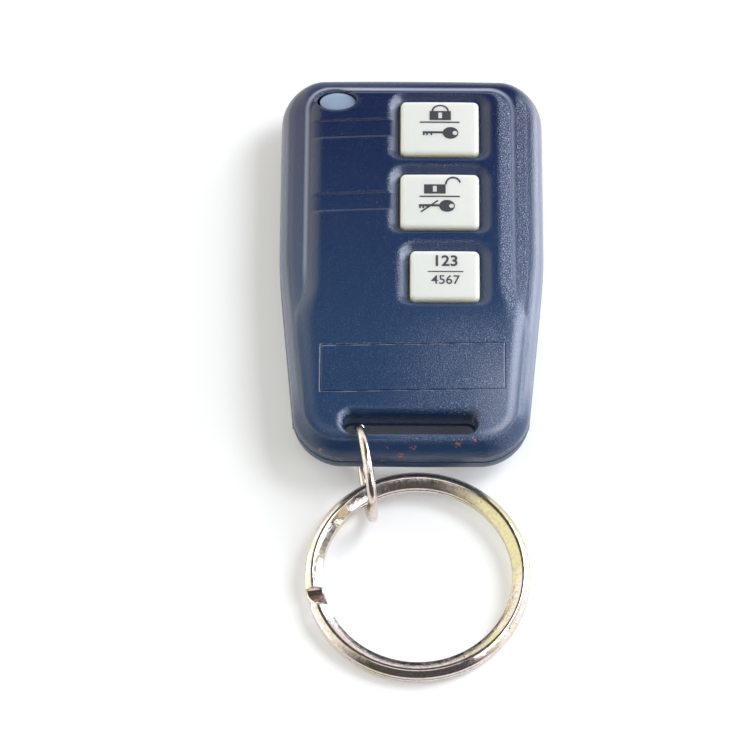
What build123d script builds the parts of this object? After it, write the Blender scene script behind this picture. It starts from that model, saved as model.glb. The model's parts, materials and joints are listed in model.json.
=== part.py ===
"""Two-way car alarm remote: a slim two-shell key fob with three push buttons, an indicator
window, a coin cell and a circuit board inside, and a jump ring and a split ring on the bar
of its cord slot. Millimetres. The origin is the centre of the flat back, +Z points out of
the face with the buttons, and +Y points to the end with the indicator window."""
import math
import os

from build123d import *

# Casing
WIDTH = 36.1
LENGTH = 59.6
FAR_TIP_Y = 29.45
THICKNESS = 10.5
PARTING_Z = 6.5
END_BOW = 0.25
TAPER_Y = 0.0
TAPER = 0.0925
CORNER_R = 6.0
WAIST_R = 60.0
SHOULDER_R = 2.6
BACK_EDGE_R = 2.2
WALL = 1.3
FLOOR = 1.3
CEILING_Z = 9.0
CROWN_START_Y = -8.0
CROWN_DROP = 0.78
LIP_HEIGHT = 0.7
LIP_THICKNESS = 0.6
LIP_GAP = 0.05

# Raised middle of the face, and the ledge beside it
PLATEAU_HALF_WIDTH = 14.2
PLATEAU_TOP_Y = 27.7
PLATEAU_CORNER_R = 3.0
PLATEAU_EDGE_R = 1.4
LEDGE_Z = 9.65
FLARE_START_Y = -3.0
FLARE_END_Y = -16.0
FLARE_REACH = 4.0

# Cord slot and the bar that closes it
SLOT_LENGTH = 17.4
SLOT_FAR_Y = -24.4
SLOT_NEAR_Y = -27.35
SLOT_CORNER_R = 1.2
SLOT_MOUTH_R = 0.9
SLOT_STEP = 0.2
BAR_BOTTOM_Z = 3.4
BAR_EDGE_R = 1.0
BAR_OUTER_R = 2.4
RAMP_START_Y = -19.5
RAMP_END_Y = -23.4
RAMP_BEND_R = 2.5

# Buttons: centre x, centre y, width, depth
BUTTONS = {
    "lock": (3.82, 20.45, 10.8, 8.7),
    "unlock": (3.82, 8.55, 10.8, 8.7),
    "channel": (4.50, -3.35, 9.44, 7.8),
}
BUTTON_TOP_Z = 10.85
BUTTON_TRAVEL = 0.4
BUTTON_CORNER_R = 0.8
BUTTON_EDGE_R = 0.45
BUTTON_GAP = 0.2
FLANGE_REACH = 0.7
FLANGE_THICKNESS = 0.8
FLANGE_GAP = 0.1
NUB_R = 1.6
RECESS_SIDE = 1.65
RECESS_FAR = 1.75
RECESS_NEAR = 0.65
RECESS_DEPTH = 0.7
RECESS_CORNER_R = 2.2

# Indicator
WINDOW_X = -10.35
WINDOW_Y = 25.2
WINDOW_LENGTH = 5.5
WINDOW_WIDTH = 3.2
LENS_TOP_Z = 9.6
LENS_GAP = 0.1
LENS_FLANGE_REACH = 0.4
LENS_FLANGE_THICKNESS = 0.9
LENS_STEM_R = 1.3
LED_BASE = (3.2, 1.6, 0.4)
LED_HEIGHT = 1.0
LED_CORNER_R = 0.3

# Shallow bands from the left shoulder to the button recesses, and the bare frame below
BAND_YS = (20.5, 8.6)
BAND_WIDTH = 2.8
BAND_DEPTH = 0.2
BAND_LEFT_X = -13.2
FRAME_CENTRE = (0.2, -17.575)
FRAME_SIZE = (24.8, 7.05)
FRAME_LINE = 0.2
FRAME_DEPTH = 0.12

# Circuit board and what stands on it
BOARD_BOTTOM_Z = 5.1
BOARD_THICKNESS = 0.8
BOARD_TOP_Z = BOARD_BOTTOM_Z + BOARD_THICKNESS
BOARD_END_Y = -13.2
BOARD_CLEARANCE = 0.4
SWITCH_SIZE = 5.2
SWITCH_CORNER_R = 0.4
SWITCH_HEIGHT = 1.3
SWITCH_FOOT = (0.8, 0.7, 0.2)
PLUNGER_R = 1.3
PLUNGER_PROUD = 0.5
PLUNGER_DEPTH = 0.4
PLUNGER_GAP = 0.08
POST_R = 1.0
POSTS = ((-13.6, 23.0), (13.6, 23.0), (-14.4, -10.6), (14.4, -10.6))

# Chips with leads: centre x, centre y, width, depth, height, leads on each side
LEADED_CHIPS = {
    "controller_chip": (-9.0, 12.0, 6.2, 4.4, 1.5, 8),
    "radio_chip": (-9.0, 2.5, 4.6, 3.6, 1.1, 6),
}
CHIP_CHAMFER = 0.15
LEAD_WIDTH = 0.4
LEAD_THICKNESS = 0.2
LEAD_REACH = 0.8
LEAD_RISE = 0.55

# Chips without leads: their size, and the centre of each
FLAT_CHIPS = {
    "quartz_crystal": ((5.0, 3.2, 1.2), [(-9.0, -3.5)]),
    "saw_resonator": ((3.8, 3.8, 1.3), [(-9.0, -9.0)]),
    "capacitors": (
        (1.6, 0.8, 0.8), [(-13.6, 14.0), (-13.6, 11.0), (-13.6, 4.0), (-13.6, 1.0), (-4.4, -3.4)]
    ),
    "resistors": (
        (1.6, 0.8, 0.45), [(-13.6, -2.0), (-13.6, -5.0), (-4.4, -6.0), (-4.4, -8.6), (-4.8, 17.0)]
    ),
}

# Antenna wire along the board's right edge
ANTENNA_X = 12.6
ANTENNA_YS = (-9.5, 18.0)
ANTENNA_Z = 7.6
ANTENNA_BEND_R = 0.8
ANTENNA_WIRE_R = 0.35

# Coin cell 2032 and its contacts
CELL_CENTRE = (0.0, 9.5)
CELL_R = 10.0
CELL_HEIGHT = 3.2
CELL_BOTTOM_Z = 1.6
CELL_STEP = 0.6
CELL_RIB_GAP = 0.2
CELL_RIB = 0.8
CELL_RIB_HEIGHT = 1.8
CONTACT_THICKNESS = 0.2
CONTACT_WIDTH = 4.0
CONTACT_OUT_X = 14.8
CONTACT_REACH = 3.0
LUG_REACH = 2.6
LUG_DEPTH = 1.2

# Casing screws
SCREW_X = 11.6
SCREW_Y = -15.6
SCREW_R = 1.0
PILOT_R = 0.85
PILOT_TOP_Z = 8.4
SCREW_HEAD_R = 1.8
SCREW_HEAD_HEIGHT = 1.2
SCREW_HEAD_EDGE_R = 0.5
SCREW_CROSS = (2.0, 0.45, 0.6)
SCREW_LENGTH = 6.0
HEAD_DEPTH = 1.5
SCREW_CLEARANCE = 0.15
BOSS_R = 2.2
BOSS_SPLIT_Z = 3.4

# Jump ring that stands in the slot, round the bar
HOOP_CENTRE = (-6.0, -31.95)
HOOP_HEADING = 10.0
HOOP_WIRE = 1.25
HOOP_INNER_R = 5.4
HOOP_CUT = 8.0
HOOP_CUT_AT = 28.0

# Split ring: two flat turns with a step from one to the other
RING_CENTRE = (0.93, -44.95)
RING_OUTER_R = 15.0
RING_WIDTH = 2.4
RING_HEIGHT = 2.7
RING_EDGE_Z = 0.7
RING_CREST = 0.4
RING_GROOVE = 0.15
RING_LIFT = 1.55
RING_STEP_AT = 190.5
RING_STEP_SWEEP = 10.0
RING_STEP_PARTS = 4
RING_END_GAP = 1.5

# How far two forms of one solid run into each other where they are joined
OVERLAP = 0.1

HALF_WIDTH = WIDTH / 2
NEAR_TIP_Y = FAR_TIP_Y - LENGTH
FAR_Y = FAR_TIP_Y - END_BOW
NEAR_Y = NEAR_TIP_Y + END_BOW
FOOT_HALF_WIDTH = HALF_WIDTH - TAPER * (TAPER_Y - NEAR_Y)
RING_MEAN_R = RING_OUTER_R - RING_WIDTH / 2
HOOP_CENTRE_Z = HOOP_INNER_R + HOOP_WIRE
PLUNGER_TOP_Z = BOARD_TOP_Z + SWITCH_HEIGHT + PLUNGER_PROUD


def rounded_block(x, y, low_z, high_z, width, depth, radius):
    """A block with rounded upright corners."""
    return extrude(Pos(x, y, low_z) * RectangleRounded(width, depth, radius), high_z - low_z)


def drum(x, y, low_z, high_z, radius):
    """An upright cylinder."""
    return extrude(Pos(x, y, low_z) * Circle(radius), high_z - low_z)


def side_prism(face):
    """A face drawn in (Y, Z), made into a prism that is wider than the casing."""
    return extrude(Plane.YZ * face, WIDTH, both=True)


def outline(inset=0.0):
    """The casing seen from above: parallel sides that taper towards the slot end."""
    far = ThreePointArc((-HALF_WIDTH, FAR_Y), (0, FAR_TIP_Y), (HALF_WIDTH, FAR_Y))
    right = Polyline((HALF_WIDTH, FAR_Y), (HALF_WIDTH, TAPER_Y), (FOOT_HALF_WIDTH, NEAR_Y))
    near = ThreePointArc((FOOT_HALF_WIDTH, NEAR_Y), (0, NEAR_TIP_Y), (-FOOT_HALF_WIDTH, NEAR_Y))
    left = Polyline((-FOOT_HALF_WIDTH, NEAR_Y), (-HALF_WIDTH, TAPER_Y), (-HALF_WIDTH, FAR_Y))
    face = make_face(far + right + near + left)
    waist = [v for v in face.vertices() if abs(v.Y - TAPER_Y) < 1]
    face = fillet(waist, WAIST_R)
    corners = [v for v in face.vertices() if v.Y > FAR_Y - 0.1 or v.Y < NEAR_Y + 0.1]
    face = fillet(corners, CORNER_R)
    return offset(face, amount=-inset) if inset else face


def outline_block(low_z, high_z, inset=0.0):
    return extrude(Pos(0, 0, low_z) * outline(inset), high_z - low_z)


def plateau_block():
    """The raised middle of the face. It flares out to the casing's shoulders near the slot."""
    wide = PLATEAU_HALF_WIDTH + FLARE_REACH
    right = [
        (PLATEAU_HALF_WIDTH, PLATEAU_TOP_Y),
        (PLATEAU_HALF_WIDTH, FLARE_START_Y),
        (wide, FLARE_END_Y),
        (wide, -LENGTH),
    ]
    left = [(-x, y) for x, y in reversed(right)]
    face = make_face(Polyline(*right, *left, close=True))
    flare = [v for v in face.vertices() if FLARE_END_Y - 1 < v.Y < FLARE_START_Y + 1]
    face = fillet(flare, 2 * CORNER_R)
    top = [v for v in face.vertices() if v.Y > PLATEAU_TOP_Y - 0.1]
    face = fillet(top, PLATEAU_CORNER_R)
    block = extrude(face, THICKNESS)
    return fillet(block.faces().sort_by(Axis.Z)[-1].edges(), PLATEAU_EDGE_R)


def crown_prism():
    """Everything under the face, which falls away gently towards the slot end."""
    end = -LENGTH
    run = CROWN_START_Y - NEAR_Y
    radius = run**2 / (2 * CROWN_DROP)
    drop_at_end = radius - math.sqrt(radius**2 - (CROWN_START_Y - end) ** 2)
    middle_y = (CROWN_START_Y + end) / 2
    drop_at_middle = radius - math.sqrt(radius**2 - (CROWN_START_Y - middle_y) ** 2)
    curve = ThreePointArc(
        (CROWN_START_Y, THICKNESS),
        (middle_y, THICKNESS - drop_at_middle),
        (end, THICKNESS - drop_at_end),
    )
    rest = Polyline(
        (end, THICKNESS - drop_at_end), (end, 0), (LENGTH, 0), (LENGTH, THICKNESS),
        (CROWN_START_Y, THICKNESS),
    )
    return side_prism(make_face(curve + rest))


def slot_block(low_z, high_z, step=0.0):
    """The slot's through hole. The rear casing's far wall and ends stand out as a small step."""
    depth = SLOT_FAR_Y - SLOT_NEAR_Y - step
    middle_y = (SLOT_FAR_Y + SLOT_NEAR_Y - step) / 2
    return rounded_block(0, middle_y, low_z, high_z, SLOT_LENGTH - 2 * step, depth, SLOT_CORNER_R)


def cavity(low_z, high_z):
    """The hollow for the board and the cell, which ends in front of the slot's far wall."""
    hollow = outline_block(low_z, high_z, WALL)
    end_block = Pos(0, SLOT_FAR_Y + WALL - LENGTH / 2, 0) * Box(2 * WIDTH, LENGTH, 4 * THICKNESS)
    return hollow - end_block


def lip(gap=0.0):
    """The tongue on the rear casing's wall that the front casing fits over."""
    low = PARTING_Z - (0.0 if gap else OVERLAP)
    ring = outline_block(low, PARTING_Z + LIP_HEIGHT + gap, WALL - LIP_THICKNESS - gap)
    return ring - outline_block(0, THICKNESS, WALL)


def button_outline(name, grow=0.0):
    x, y, width, depth = BUTTONS[name]
    return Pos(x, y) * RectangleRounded(width + 2 * grow, depth + 2 * grow, BUTTON_CORNER_R + grow)


def recess(name):
    """The dished well round one button."""
    x, y, width, depth = BUTTONS[name]
    rim = Pos(x, y + (RECESS_FAR - RECESS_NEAR) / 2, THICKNESS) * RectangleRounded(
        width + 2 * RECESS_SIDE, depth + RECESS_FAR + RECESS_NEAR, RECESS_CORNER_R
    )
    well = Pos(x, y, THICKNESS - RECESS_DEPTH) * RectangleRounded(
        width + 2 * BUTTON_GAP, depth + 2 * BUTTON_GAP, BUTTON_CORNER_R + BUTTON_GAP
    )
    return loft([well.face(), rim.face()], ruled=True)


def band_left(y):
    right = BUTTONS["lock"][0] - BUTTONS["lock"][2] / 2
    width = right - BAND_LEFT_X
    return Pos(BAND_LEFT_X + width / 2, y, THICKNESS) * Box(width, BAND_WIDTH, 2 * BAND_DEPTH)


def frame_groove():
    """The thin incised rectangle above the slot. It follows the face, which falls away."""
    x, y = FRAME_CENTRE
    width, depth = FRAME_SIZE
    ring = Rectangle(width, depth) - Rectangle(width - 2 * FRAME_LINE, depth - 2 * FRAME_LINE)
    prism = extrude(Pos(x, y, THICKNESS - 2) * ring, 4)
    return prism - Pos(0, 0, -FRAME_DEPTH) * crown_prism()


def screw_places():
    return [(-SCREW_X, SCREW_Y), (SCREW_X, SCREW_Y)]


def front_casing():
    blank = outline_block(PARTING_Z, THICKNESS + 1) & crown_prism()
    crown_seam = [
        e for e in blank.edges()
        if abs(e.center().Y - CROWN_START_Y) < 0.5 and abs(e.center().X) < HALF_WIDTH - 2
    ]
    rim = [e for e in blank.edges() if e.center().Z > CEILING_Z and e not in crown_seam]
    blank = fillet(rim, SHOULDER_R)
    low = blank & Pos(0, 0, LEDGE_Z - LENGTH / 2) * Box(2 * WIDTH, 2 * LENGTH, LENGTH)
    shell = low + (blank & plateau_block())
    slot = slot_block(0, 2 * THICKNESS)
    shell -= slot
    mouth = [
        e for e in shell.edges()
        if abs(e.center().X) < SLOT_LENGTH / 2 + 0.1 and e.center().Z > LEDGE_Z - 1.5
        and SLOT_NEAR_Y - 0.1 < e.center().Y < SLOT_FAR_Y + 0.1 and e.length < SLOT_LENGTH
        and abs(e.tangent_at(0.5).Z) < 0.9
    ]
    shell = fillet(mouth, SLOT_MOUTH_R)
    shell -= cavity(PARTING_Z - 1, CEILING_Z)
    shell -= lip(LIP_GAP)
    for name in BUTTONS:
        shell -= recess(name)
        shell -= extrude(button_outline(name, BUTTON_GAP), 2 * THICKNESS)
    window = Pos(WINDOW_X, WINDOW_Y) * Ellipse(WINDOW_LENGTH / 2, WINDOW_WIDTH / 2)
    shell -= extrude(window, 2 * THICKNESS)
    for y in BAND_YS:
        shell -= band_left(y)
    shell -= frame_groove()
    for x, y in screw_places():
        shell += drum(x, y, BOSS_SPLIT_Z, CEILING_Z + OVERLAP, BOSS_R)
        shell -= drum(x, y, BOSS_SPLIT_Z - 1, PILOT_TOP_Z, PILOT_R)
    return shell


def rear_profile():
    """The rear casing in (Y, Z): a flat back with a ramp up to the bar at the slot end."""
    end = -LENGTH
    points = [
        (LENGTH, PARTING_Z), (LENGTH, 0), (RAMP_START_Y, 0), (RAMP_END_Y, BAR_BOTTOM_Z),
        (NEAR_TIP_Y, BAR_BOTTOM_Z), (NEAR_TIP_Y, PARTING_Z),
    ]
    face = make_face(Polyline(*points, close=True))
    bends = [v for v in face.vertices() if RAMP_END_Y - 0.1 < v.X < RAMP_START_Y + 0.1]
    face = fillet(bends, RAMP_BEND_R)
    outer = [v for v in face.vertices() if v.X < NEAR_TIP_Y + 0.1 and v.Y < PARTING_Z - 1]
    return fillet(outer, BAR_OUTER_R)


def rear_casing():
    blank = outline_block(0, PARTING_Z)
    blank = fillet(blank.faces().sort_by(Axis.Z)[0].edges(), BACK_EDGE_R)
    shell = blank & side_prism(rear_profile())
    shell -= slot_block(-THICKNESS, 2 * THICKNESS, SLOT_STEP)
    bar_edge = [
        e for e in shell.edges()
        if abs(e.center().Z - BAR_BOTTOM_Z) < 0.05 and abs(e.center().X) < 1
        and abs(e.center().Y - SLOT_NEAR_Y) < 0.1
    ]
    shell = fillet(bar_edge, BAR_EDGE_R)
    hollow = cavity(FLOOR, THICKNESS)
    ramp_depth = 2 * (RAMP_START_Y - RAMP_END_Y + FLOOR)
    ramp_block = Pos(0, RAMP_END_Y, 0) * Box(2 * WIDTH, ramp_depth, 2 * (BAR_BOTTOM_Z + FLOOR))
    shell -= hollow - ramp_block
    shell += lip() - Pos(0, -LENGTH, 0) * Box(WIDTH * 2, 2 * (LENGTH + SLOT_FAR_Y), LENGTH)
    x, y = CELL_CENTRE
    rib_top = FLOOR + CELL_RIB_HEIGHT
    rib = drum(x, y, FLOOR - OVERLAP, rib_top, CELL_R + CELL_RIB_GAP + CELL_RIB)
    rib -= drum(x, y, 0, rib_top + 1, CELL_R + CELL_RIB_GAP)
    gap = Pos(x, y, rib_top) * Box(WIDTH, CONTACT_WIDTH + 2, 2 * CELL_RIB_HEIGHT)
    shell += rib - gap
    for x, y in POSTS:
        shell += drum(x, y, FLOOR - OVERLAP, BOARD_BOTTOM_Z, POST_R)
    for x, y in screw_places():
        shell += drum(x, y, FLOOR - OVERLAP, BOSS_SPLIT_Z - LIP_GAP, BOSS_R + SCREW_CLEARANCE)
        shell -= drum(x, y, -1, HEAD_DEPTH, SCREW_HEAD_R + SCREW_CLEARANCE)
        shell -= drum(x, y, -1, THICKNESS, SCREW_R + SCREW_CLEARANCE)
    return shell


def button(name):
    x, y, width, depth = BUTTONS[name]
    flange_top = CEILING_Z - FLANGE_GAP
    flange_bottom = flange_top - FLANGE_THICKNESS
    cap = extrude(Pos(0, 0, flange_bottom) * button_outline(name), BUTTON_TOP_Z - flange_bottom)
    cap = fillet(cap.faces().sort_by(Axis.Z)[-1].edges(), BUTTON_EDGE_R)
    flange = extrude(
        Pos(0, 0, flange_bottom) * button_outline(name, FLANGE_REACH), FLANGE_THICKNESS
    )
    nub = drum(x, y, PLUNGER_TOP_Z, flange_bottom + OVERLAP, NUB_R)
    return cap + flange + nub


def switch_body(name):
    """A surface-mounted push switch: a square body with a round well for its plunger."""
    x, y = BUTTONS[name][:2]
    top = BOARD_TOP_Z + SWITCH_HEIGHT
    body = rounded_block(x, y, BOARD_TOP_Z, top, SWITCH_SIZE, SWITCH_SIZE, SWITCH_CORNER_R)
    foot_width, foot_depth, foot_height = SWITCH_FOOT
    for side in (-1, 1):
        for end in (-1, 1):
            foot_x = x + side * (SWITCH_SIZE + foot_width) / 2
            foot_y = y + end * SWITCH_SIZE / 3
            foot = Box(foot_width + 2 * OVERLAP, foot_depth, foot_height)
            body += Pos(foot_x, foot_y, BOARD_TOP_Z + foot_height / 2) * foot
    well_floor = top - PLUNGER_DEPTH - BUTTON_TRAVEL - PLUNGER_GAP
    return body - drum(x, y, well_floor, top + 1, PLUNGER_R + PLUNGER_GAP)


def plunger(name):
    x, y = BUTTONS[name][:2]
    return drum(x, y, PLUNGER_TOP_Z - PLUNGER_PROUD - PLUNGER_DEPTH, PLUNGER_TOP_Z, PLUNGER_R)


def indicator_lens():
    """A light guide: an oval head in the window and a stem down towards the diode."""
    flange_top = CEILING_Z - LENS_GAP / 2
    flange_bottom = flange_top - LENS_FLANGE_THICKNESS
    head = Ellipse(WINDOW_LENGTH / 2 - LENS_GAP, WINDOW_WIDTH / 2 - LENS_GAP)
    flange = Ellipse(WINDOW_LENGTH / 2 + LENS_FLANGE_REACH, WINDOW_WIDTH / 2 + LENS_FLANGE_REACH)
    guide = extrude(Pos(WINDOW_X, WINDOW_Y, flange_bottom) * head, LENS_TOP_Z - flange_bottom)
    guide += extrude(Pos(WINDOW_X, WINDOW_Y, flange_bottom) * flange, LENS_FLANGE_THICKNESS)
    stem_bottom = BOARD_TOP_Z + LED_HEIGHT + LENS_GAP
    return guide + drum(WINDOW_X, WINDOW_Y, stem_bottom, flange_bottom + OVERLAP, LENS_STEM_R)


def indicator_led():
    width, depth, height = LED_BASE
    top = BOARD_TOP_Z + LED_HEIGHT
    base = Pos(WINDOW_X, WINDOW_Y, BOARD_TOP_Z + height / 2) * Box(width, depth, height)
    dome_bottom = BOARD_TOP_Z + height - OVERLAP
    dome = rounded_block(WINDOW_X, WINDOW_Y, dome_bottom, top, width * 0.62, depth * 0.88, LED_CORNER_R)
    return base + dome


def circuit_board():
    board = outline_block(BOARD_BOTTOM_Z, BOARD_TOP_Z, WALL + BOARD_CLEARANCE)
    return board - Pos(0, BOARD_END_Y - LENGTH / 2, 0) * Box(2 * WIDTH, LENGTH, LENGTH)


def coin_cell():
    x, y = CELL_CENTRE
    top = CELL_BOTTOM_Z + CELL_HEIGHT
    can = drum(x, y, CELL_BOTTOM_Z + CELL_STEP, top, CELL_R)
    can = chamfer(can.faces().sort_by(Axis.Z)[-1].edges(), CELL_STEP / 2)
    cap_top = CELL_BOTTOM_Z + CELL_STEP + OVERLAP
    return can + drum(x, y, CELL_BOTTOM_Z, cap_top, CELL_R - 2 * CELL_STEP)


def contact_negative():
    """A spring strip under the cell that turns up at its side to the board."""
    x, y = CELL_CENTRE
    low_z = CELL_BOTTOM_Z - CONTACT_THICKNESS - LIP_GAP
    run = CONTACT_OUT_X + CONTACT_REACH
    strip = Box(run, CONTACT_WIDTH, CONTACT_THICKNESS)
    strip = Pos(x + CONTACT_OUT_X - run / 2, y, low_z + CONTACT_THICKNESS / 2) * strip
    leg = Box(CONTACT_THICKNESS, CONTACT_WIDTH, BOARD_BOTTOM_Z - low_z)
    leg_x = x + CONTACT_OUT_X - CONTACT_THICKNESS / 2
    return strip + Pos(leg_x, y, (low_z + BOARD_BOTTOM_Z) / 2) * leg


def contact_positive():
    """A flat tongue between the cell's can and the board, with a lug at its end."""
    x, y = CELL_CENTRE
    height = BOARD_BOTTOM_Z - CELL_BOTTOM_Z - CELL_HEIGHT
    run = CELL_R + LUG_REACH
    tongue = Pos(x - run / 2, y, BOARD_BOTTOM_Z - height / 2) * Box(run, CONTACT_WIDTH, height)
    lug = Box(CONTACT_THICKNESS, CONTACT_WIDTH, LUG_DEPTH)
    return tongue + Pos(x - run + CONTACT_THICKNESS / 2, y, BOARD_BOTTOM_Z - LUG_DEPTH / 2) * lug


def leaded_chip(x, y, width, depth, height, pins):
    """A small-outline chip: a body with a row of bent leads along two sides."""
    body = Pos(x, y, BOARD_TOP_Z + LEAD_THICKNESS / 2 + height / 2) * Box(width, depth, height)
    body = chamfer(body.edges().filter_by(Axis.Z), CHIP_CHAMFER)
    pitch = width / (pins + 0.5)
    rise = LEAD_RISE * height
    for side in (-1, 1):
        for i in range(pins):
            lead_x = x + (i - (pins - 1) / 2) * pitch
            foot_y = y + side * (depth + LEAD_REACH - OVERLAP) / 2
            foot = Box(LEAD_WIDTH, LEAD_REACH + OVERLAP, LEAD_THICKNESS)
            body += Pos(lead_x, foot_y, BOARD_TOP_Z + LEAD_THICKNESS / 2) * foot
            knee = Box(LEAD_WIDTH, 2 * LEAD_THICKNESS, rise)
            body += Pos(lead_x, y + side * depth / 2, BOARD_TOP_Z + rise / 2) * knee
    return body


def flat_chips(size, places):
    """A group of like blocks on the board."""
    width, depth, height = size
    return [Pos(x, y, BOARD_TOP_Z + height / 2) * Box(width, depth, height) for x, y in places]


def antenna_wire():
    """A wire loop that stands along the board's right edge on two soldered feet."""
    low_y, high_y = ANTENNA_YS
    path = FilletPolyline(
        (ANTENNA_X, low_y, BOARD_TOP_Z), (ANTENNA_X, low_y, ANTENNA_Z),
        (ANTENNA_X, high_y, ANTENNA_Z), (ANTENNA_X, high_y, BOARD_TOP_Z),
        radius=ANTENNA_BEND_R,
    )
    return sweep(Plane(origin=path @ 0, z_dir=path % 0) * Circle(ANTENNA_WIRE_R), path=path)


def casing_screw(x, y):
    """A pan head with a cross recess, and a plain shank at the thread's outer size."""
    head_top = HEAD_DEPTH - SCREW_HEAD_HEIGHT
    screw = drum(x, y, head_top, HEAD_DEPTH, SCREW_HEAD_R)
    screw = fillet(screw.faces().sort_by(Axis.Z)[0].edges(), SCREW_HEAD_EDGE_R)
    screw += drum(x, y, HEAD_DEPTH, HEAD_DEPTH + SCREW_LENGTH, SCREW_R)
    length, width, depth = SCREW_CROSS
    cross = Box(length, width, 2 * depth) + Box(width, length, 2 * depth)
    return screw - Pos(x, y, head_top) * cross


def hoop():
    """A round-wire jump ring with a narrow cut, standing on edge in the slot."""
    mean_r = HOOP_INNER_R + HOOP_WIRE / 2
    wire = Plane.XZ * Pos(mean_r, 0) * Circle(HOOP_WIRE / 2)
    ring = revolve(wire, Axis.Z, 360 - HOOP_CUT)
    upright = Rot(90, 0, 0) * Rot(0, 0, HOOP_CUT_AT + HOOP_CUT / 2) * ring
    x, y = HOOP_CENTRE
    return Pos(x, y, HOOP_CENTRE_Z) * Rot(0, 0, 90 + HOOP_HEADING) * upright


def turn_section(high):
    """One turn of the split ring in (radius, Z): a low gable outside, flat against the other turn."""
    half = RING_HEIGHT / 2
    outer, inner = RING_OUTER_R, RING_OUTER_R - RING_WIDTH
    crest, groove = RING_CREST / 2, RING_GROOVE
    points = [
        (RING_MEAN_R - crest, 0), (RING_MEAN_R + crest, 0), (outer, RING_EDGE_Z),
        (outer, half - groove), (outer - groove, half), (inner + groove, half),
        (inner, half - groove), (inner, RING_EDGE_Z),
    ]
    if high:
        points = [(r, RING_HEIGHT - z) for r, z in points]
    return make_face(Polyline(*points, close=True))


def turn(high, start, sweep_angle):
    section = Plane.XZ * turn_section(high)
    return Rot(0, 0, start) * revolve(section, Axis.Z, sweep_angle)


def split_ring():
    """Two turns that lie on each other. The wire steps down from the upper to the lower turn
    in a short ramp, past the upper turn's own end."""
    step_end = RING_STEP_AT + RING_STEP_SWEEP
    ring = turn(False, step_end + RING_END_GAP, 360 - RING_STEP_SWEEP - RING_END_GAP)
    ring += turn(True, step_end, 360 - RING_STEP_SWEEP - RING_END_GAP)
    ramp = []
    for i in range(RING_STEP_PARTS + 1):
        share = i / RING_STEP_PARTS
        section = Pos(0, 0, RING_HEIGHT / 2 * share) * Plane.XZ * turn_section(False)
        ramp.append((Rot(0, 0, RING_STEP_AT + RING_STEP_SWEEP * share) * section).face())
    ring += loft(ramp, ruled=True)
    return ring_place() * ring


def ring_tilt():
    """The split ring's far side lies on the jump ring's wire, its near side on the table."""
    return math.degrees(math.asin(RING_LIFT / (2 * RING_MEAN_R)))


def ring_place():
    x, y = RING_CENTRE
    tilt = ring_tilt()
    lift = (RING_MEAN_R + RING_CREST / 2) * math.sin(math.radians(tilt))
    return Pos(x, y, lift) * Rot(tilt, 0, 0)


def ring_pivot():
    """Where the jump ring's plane cuts the split ring's middle line, and the line's direction."""
    heading = math.radians(HOOP_HEADING)
    across = (math.cos(heading), math.sin(heading))
    off_x = RING_CENTRE[0] - HOOP_CENTRE[0]
    off_y = RING_CENTRE[1] - HOOP_CENTRE[1]
    aside = off_x * across[0] + off_y * across[1]
    angle = math.pi + heading - math.acos(aside / RING_MEAN_R)
    local = Pos(RING_MEAN_R * math.cos(angle), RING_MEAN_R * math.sin(angle), RING_HEIGHT / 2)
    point = (ring_place() * local).position
    tip = Pos(
        RING_MEAN_R * math.cos(angle) + math.sin(angle),
        RING_MEAN_R * math.sin(angle) - math.cos(angle),
        RING_HEIGHT / 2,
    )
    direction = (ring_place() * tip).position - point
    return point, direction


def parts():
    made = {"front_casing": front_casing(), "rear_casing": rear_casing()}
    for name in BUTTONS:
        made[f"button_{name}"] = button(name)
        made[f"switch_{name}"] = switch_body(name)
        made[f"plunger_{name}"] = plunger(name)
    made["indicator_lens"] = indicator_lens()
    made["indicator_led"] = indicator_led()
    made["circuit_board"] = circuit_board()
    made["coin_cell"] = coin_cell()
    made["contact_negative"] = contact_negative()
    made["contact_positive"] = contact_positive()
    for name, values in LEADED_CHIPS.items():
        made[name] = leaded_chip(*values)
    for name, (size, places) in FLAT_CHIPS.items():
        made[name] = flat_chips(size, places)
    made["antenna_wire"] = antenna_wire()
    made["casing_screws"] = [casing_screw(x, y) for x, y in screw_places()]
    made["jump_ring"] = hoop()
    made["split_ring"] = split_ring()
    return made


def main():
    os.makedirs("parts", exist_ok=True)
    for node, shape in parts().items():
        solids = shape if isinstance(shape, list) else shape.solids()
        body = Compound(children=list(solids)) if len(solids) > 1 else solids[0]
        body.label = node
        export_step(body, f"parts/{node}.step")
    point, direction = ring_pivot()
    print("split ring pivot", point, "direction", direction)


main()
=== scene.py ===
"""Looks of a car alarm remote on its key ring: grained navy casings with a raised middle, three
ivory caps with printed marks, a pale indicator lens, a jump ring and a split ring in worn nickel."""
import json
import math

import bmesh
import bpy
from mathutils import Matrix, Vector

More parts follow.
